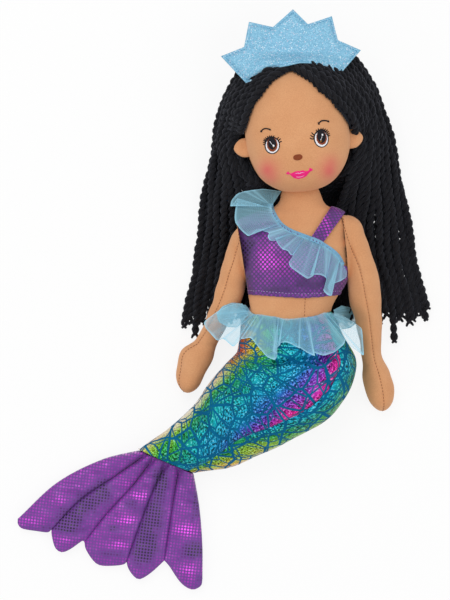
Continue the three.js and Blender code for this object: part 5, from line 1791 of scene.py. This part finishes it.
# The embroidery threads. shade is the share to which the painted shade between their rows dims them.
BLACK = satin("rayon_embroidery_thread_black", "#15131a")
WHITE = satin("rayon_embroidery_thread_white", "#fbfaff", turn=1.2)
BROWN = satin("rayon_embroidery_thread_brown", "#964a2a", turn=0.4, shade=0.6)
AMBER = satin("rayon_embroidery_thread_amber", "#d9901f")
PINK = satin("rayon_embroidery_thread_pink", "#ff2a86", turn=1.45)
ROSE = satin("rayon_embroidery_thread_rose", "#fbb0da", turn=1.45)
EYES = {
    "left": {
        "rim": (-22.05, -12.0, 6.05, 6.75),
        "white": (-22.0, -12.2, 5.45, 6.1),
        "iris": (-22.0, -11.4, 4.45, 5.9),
        "pupil": (-22.0, -10.7, 3.6, 5.0),
        "glints": [[(-23.7, -8.7), (-22.6, -10.5), (-21.4, -12.2)]],
        "spots": [(-23.4, -9.0, 0.55, 0.75, 0.5), (-21.1, -12.5, 1.0, 1.05, 0.5)],
        "amber": (-21.1, -13.8, 0.75, 0.5),
        "tips": [
            (-28.9, -9.9), (-28.7, -8.2), (-28.3, -6.6), (-27.7, -5.7), (-26.5, -4.9), (-24.8, -4.2),
            (-23.2, -4.1), (-21.5, -4.3), (-19.5, -4.8), (-16.2, -6.6), (-14.8, -8.0), (-14.4, -10.2),
        ],
        "roots": [
            (-27.2, -10.2), (-26.9, -8.9), (-26.4, -8.0), (-25.8, -7.3), (-24.9, -6.7), (-24.0, -6.2),
            (-22.9, -6.0), (-21.7, -6.2), (-20.6, -6.6), (-18.0, -8.4), (-17.0, -9.6), (-16.6, -11.0),
        ],
        "brow": [(-29.2, 0.3), (-27.2, 1.6), (-25.2, 1.7), (-22.8, 0.8), (-21.8, 0.1)],
        "dots": [(-28.9, 0.3, 0.7), (-22.0, 0.2, 0.5)],
        "lid": [(-26.9, -9.3), (-25.6, -7.0), (-23.6, -5.9), (-21.6, -5.9), (-19.4, -6.9)],
    },
    "right": {
        "rim": (16.3, -12.0, 6.1, 6.95),
        "white": (16.3, -12.2, 5.5, 6.35),
        "iris": (16.6, -11.5, 4.6, 5.7),
        "pupil": (16.6, -10.7, 3.8, 5.0),
        "glints": [[(17.2, -10.0), (16.6, -11.5), (16.0, -12.7)]],
        "spots": [(17.5, -9.2, 1.05, 1.1, 0.0), (15.8, -12.8, 0.7, 0.7, 0.0)],
        "amber": (15.7, -13.9, 1.0, 0.6),
        "tips": [
            (7.4, -10.4), (8.1, -8.3), (9.4, -6.3), (13.0, -4.6), (14.9, -3.9), (17.2, -3.8),
            (19.0, -4.0), (20.7, -4.7), (22.3, -5.6), (23.1, -6.8), (23.6, -8.4), (23.7, -10.0),
        ],
        "roots": [
            (10.6, -11.6), (11.1, -10.2), (11.6, -8.9), (14.5, -6.7), (15.7, -6.2), (17.1, -6.0),
            (18.4, -6.2), (19.5, -6.8), (20.5, -7.6), (21.3, -8.4), (21.8, -9.5), (22.0, -10.6),
        ],
        "brow": [(15.8, 0.0), (18.1, 1.5), (20.4, 1.7), (22.6, 1.3), (23.6, 0.8)],
        "dots": [(15.8, -0.1, 0.95), (23.6, 0.8, 0.7)],
        "lid": [(12.5, -7.9), (14.2, -6.4), (16.6, -5.7), (19.0, -6.1), (21.0, -7.6)],
    },
}
EYE_LAYERS = [("white", WHITE, 0.12), ("iris", BROWN, 0.24), ("pupil", BLACK, 0.36)]
for side, eye in EYES.items():
    rim = stitched(f"eye_{side}_rim", oval(*eye["rim"]), BLACK)
    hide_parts(f"eye_{side}")
    for part, finish, lift in EYE_LAYERS:
        stitched(f"eye_{side}_{part}", oval(*eye[part]), finish, lift=lift)
    stitched(f"eye_{side}_lid", stroke(eye["lid"], 2.1, ends=(0.5, 0.6)), BLACK, lift=0.42)
    for k, line in enumerate(eye["glints"]):
        glint = stroke(line, 0.85, ends=(1, 1))
        stitched(f"eye_{side}_glint_{k + 1}", glint, WHITE, lift=0.5, step=0.3)
    for k, (across, up, wide, high, turn) in enumerate(eye["spots"]):
        spot = oval(across, up, wide, high, turn, count=24)
        stitched(f"eye_{side}_spot_{k + 1}", spot, WHITE, lift=0.52, step=0.3)
    stitched(f"eye_{side}_amber", oval(*eye["amber"], count=20), AMBER, lift=0.5, step=0.3)
    lashes = []
    for root, tip in zip(np.array(eye["roots"]), np.array(eye["tips"])):
        bend = (root + tip) / 2 + 0.12 * np.array([-(tip - root)[1], (tip - root)[0]])
        lashes.append(([root, bend, tip], 0.46, 0.36))
    sewn_lines(f"lashes_{side}", lashes, BLACK)
    dots = []
    for across, up, size in eye["dots"]:
        dots.append(([(across - 0.6, up), (across, up), (across + 0.6, up)], size * 1.1, size * 1.1))
    sewn_lines(f"brow_{side}", [(eye["brow"], 0.55, 0.55)] + dots, BLACK)
nose = stitched("nose_stitches", oval(-3.6, -24.0, 3.65, 2.3, power=2.3), BROWN, thick=0.9)
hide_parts("nose")
MOUTH = [
    (-14.4, -34.6), (-13.0, -33.9), (-12.1, -33.1), (-11.7, -33.9), (-11.3, -34.9), (-10.4, -35.3),
    (-9.0, -34.8), (-7.7, -34.4), (-6.0, -34.1), (-4.5, -34.1), (-3.1, -34.5), (-2.0, -34.2),
    (-1.0, -34.0), (0.8, -34.8), (2.6, -35.1), (3.8, -34.6), (4.2, -33.6), (4.4, -32.7), (5.6, -33.3),
    (7.6, -34.9), (6.0, -35.6), (4.8, -36.0), (3.6, -36.9), (1.6, -38.9), (-1.3, -40.0), (-4.9, -40.4),
    (-8.3, -39.2), (-10.3, -37.2), (-11.3, -36.0), (-12.3, -35.9), (-13.4, -35.8),
]
mouth = stitched("mouth_stitches", np.array(MOUTH), PINK, thick=0.5)
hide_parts("mouth")
UPPER_GLEAM = [(-7.7, -35.9), (-5.6, -35.8), (-3.4, -36.1), (-1.4, -35.8), (0.6, -36.2)]
LOWER_GLEAM = [(-7.3, -38.1), (-6.0, -38.6), (-4.0, -38.9), (-1.5, -38.6), (0.5, -37.9)]
stitched("mouth_upper_gleam", stroke(UPPER_GLEAM, 1.3), ROSE, lift=0.25)
stitched("mouth_lower_gleam", stroke(LOWER_GLEAM, 1.2), ROSE, lift=0.25)
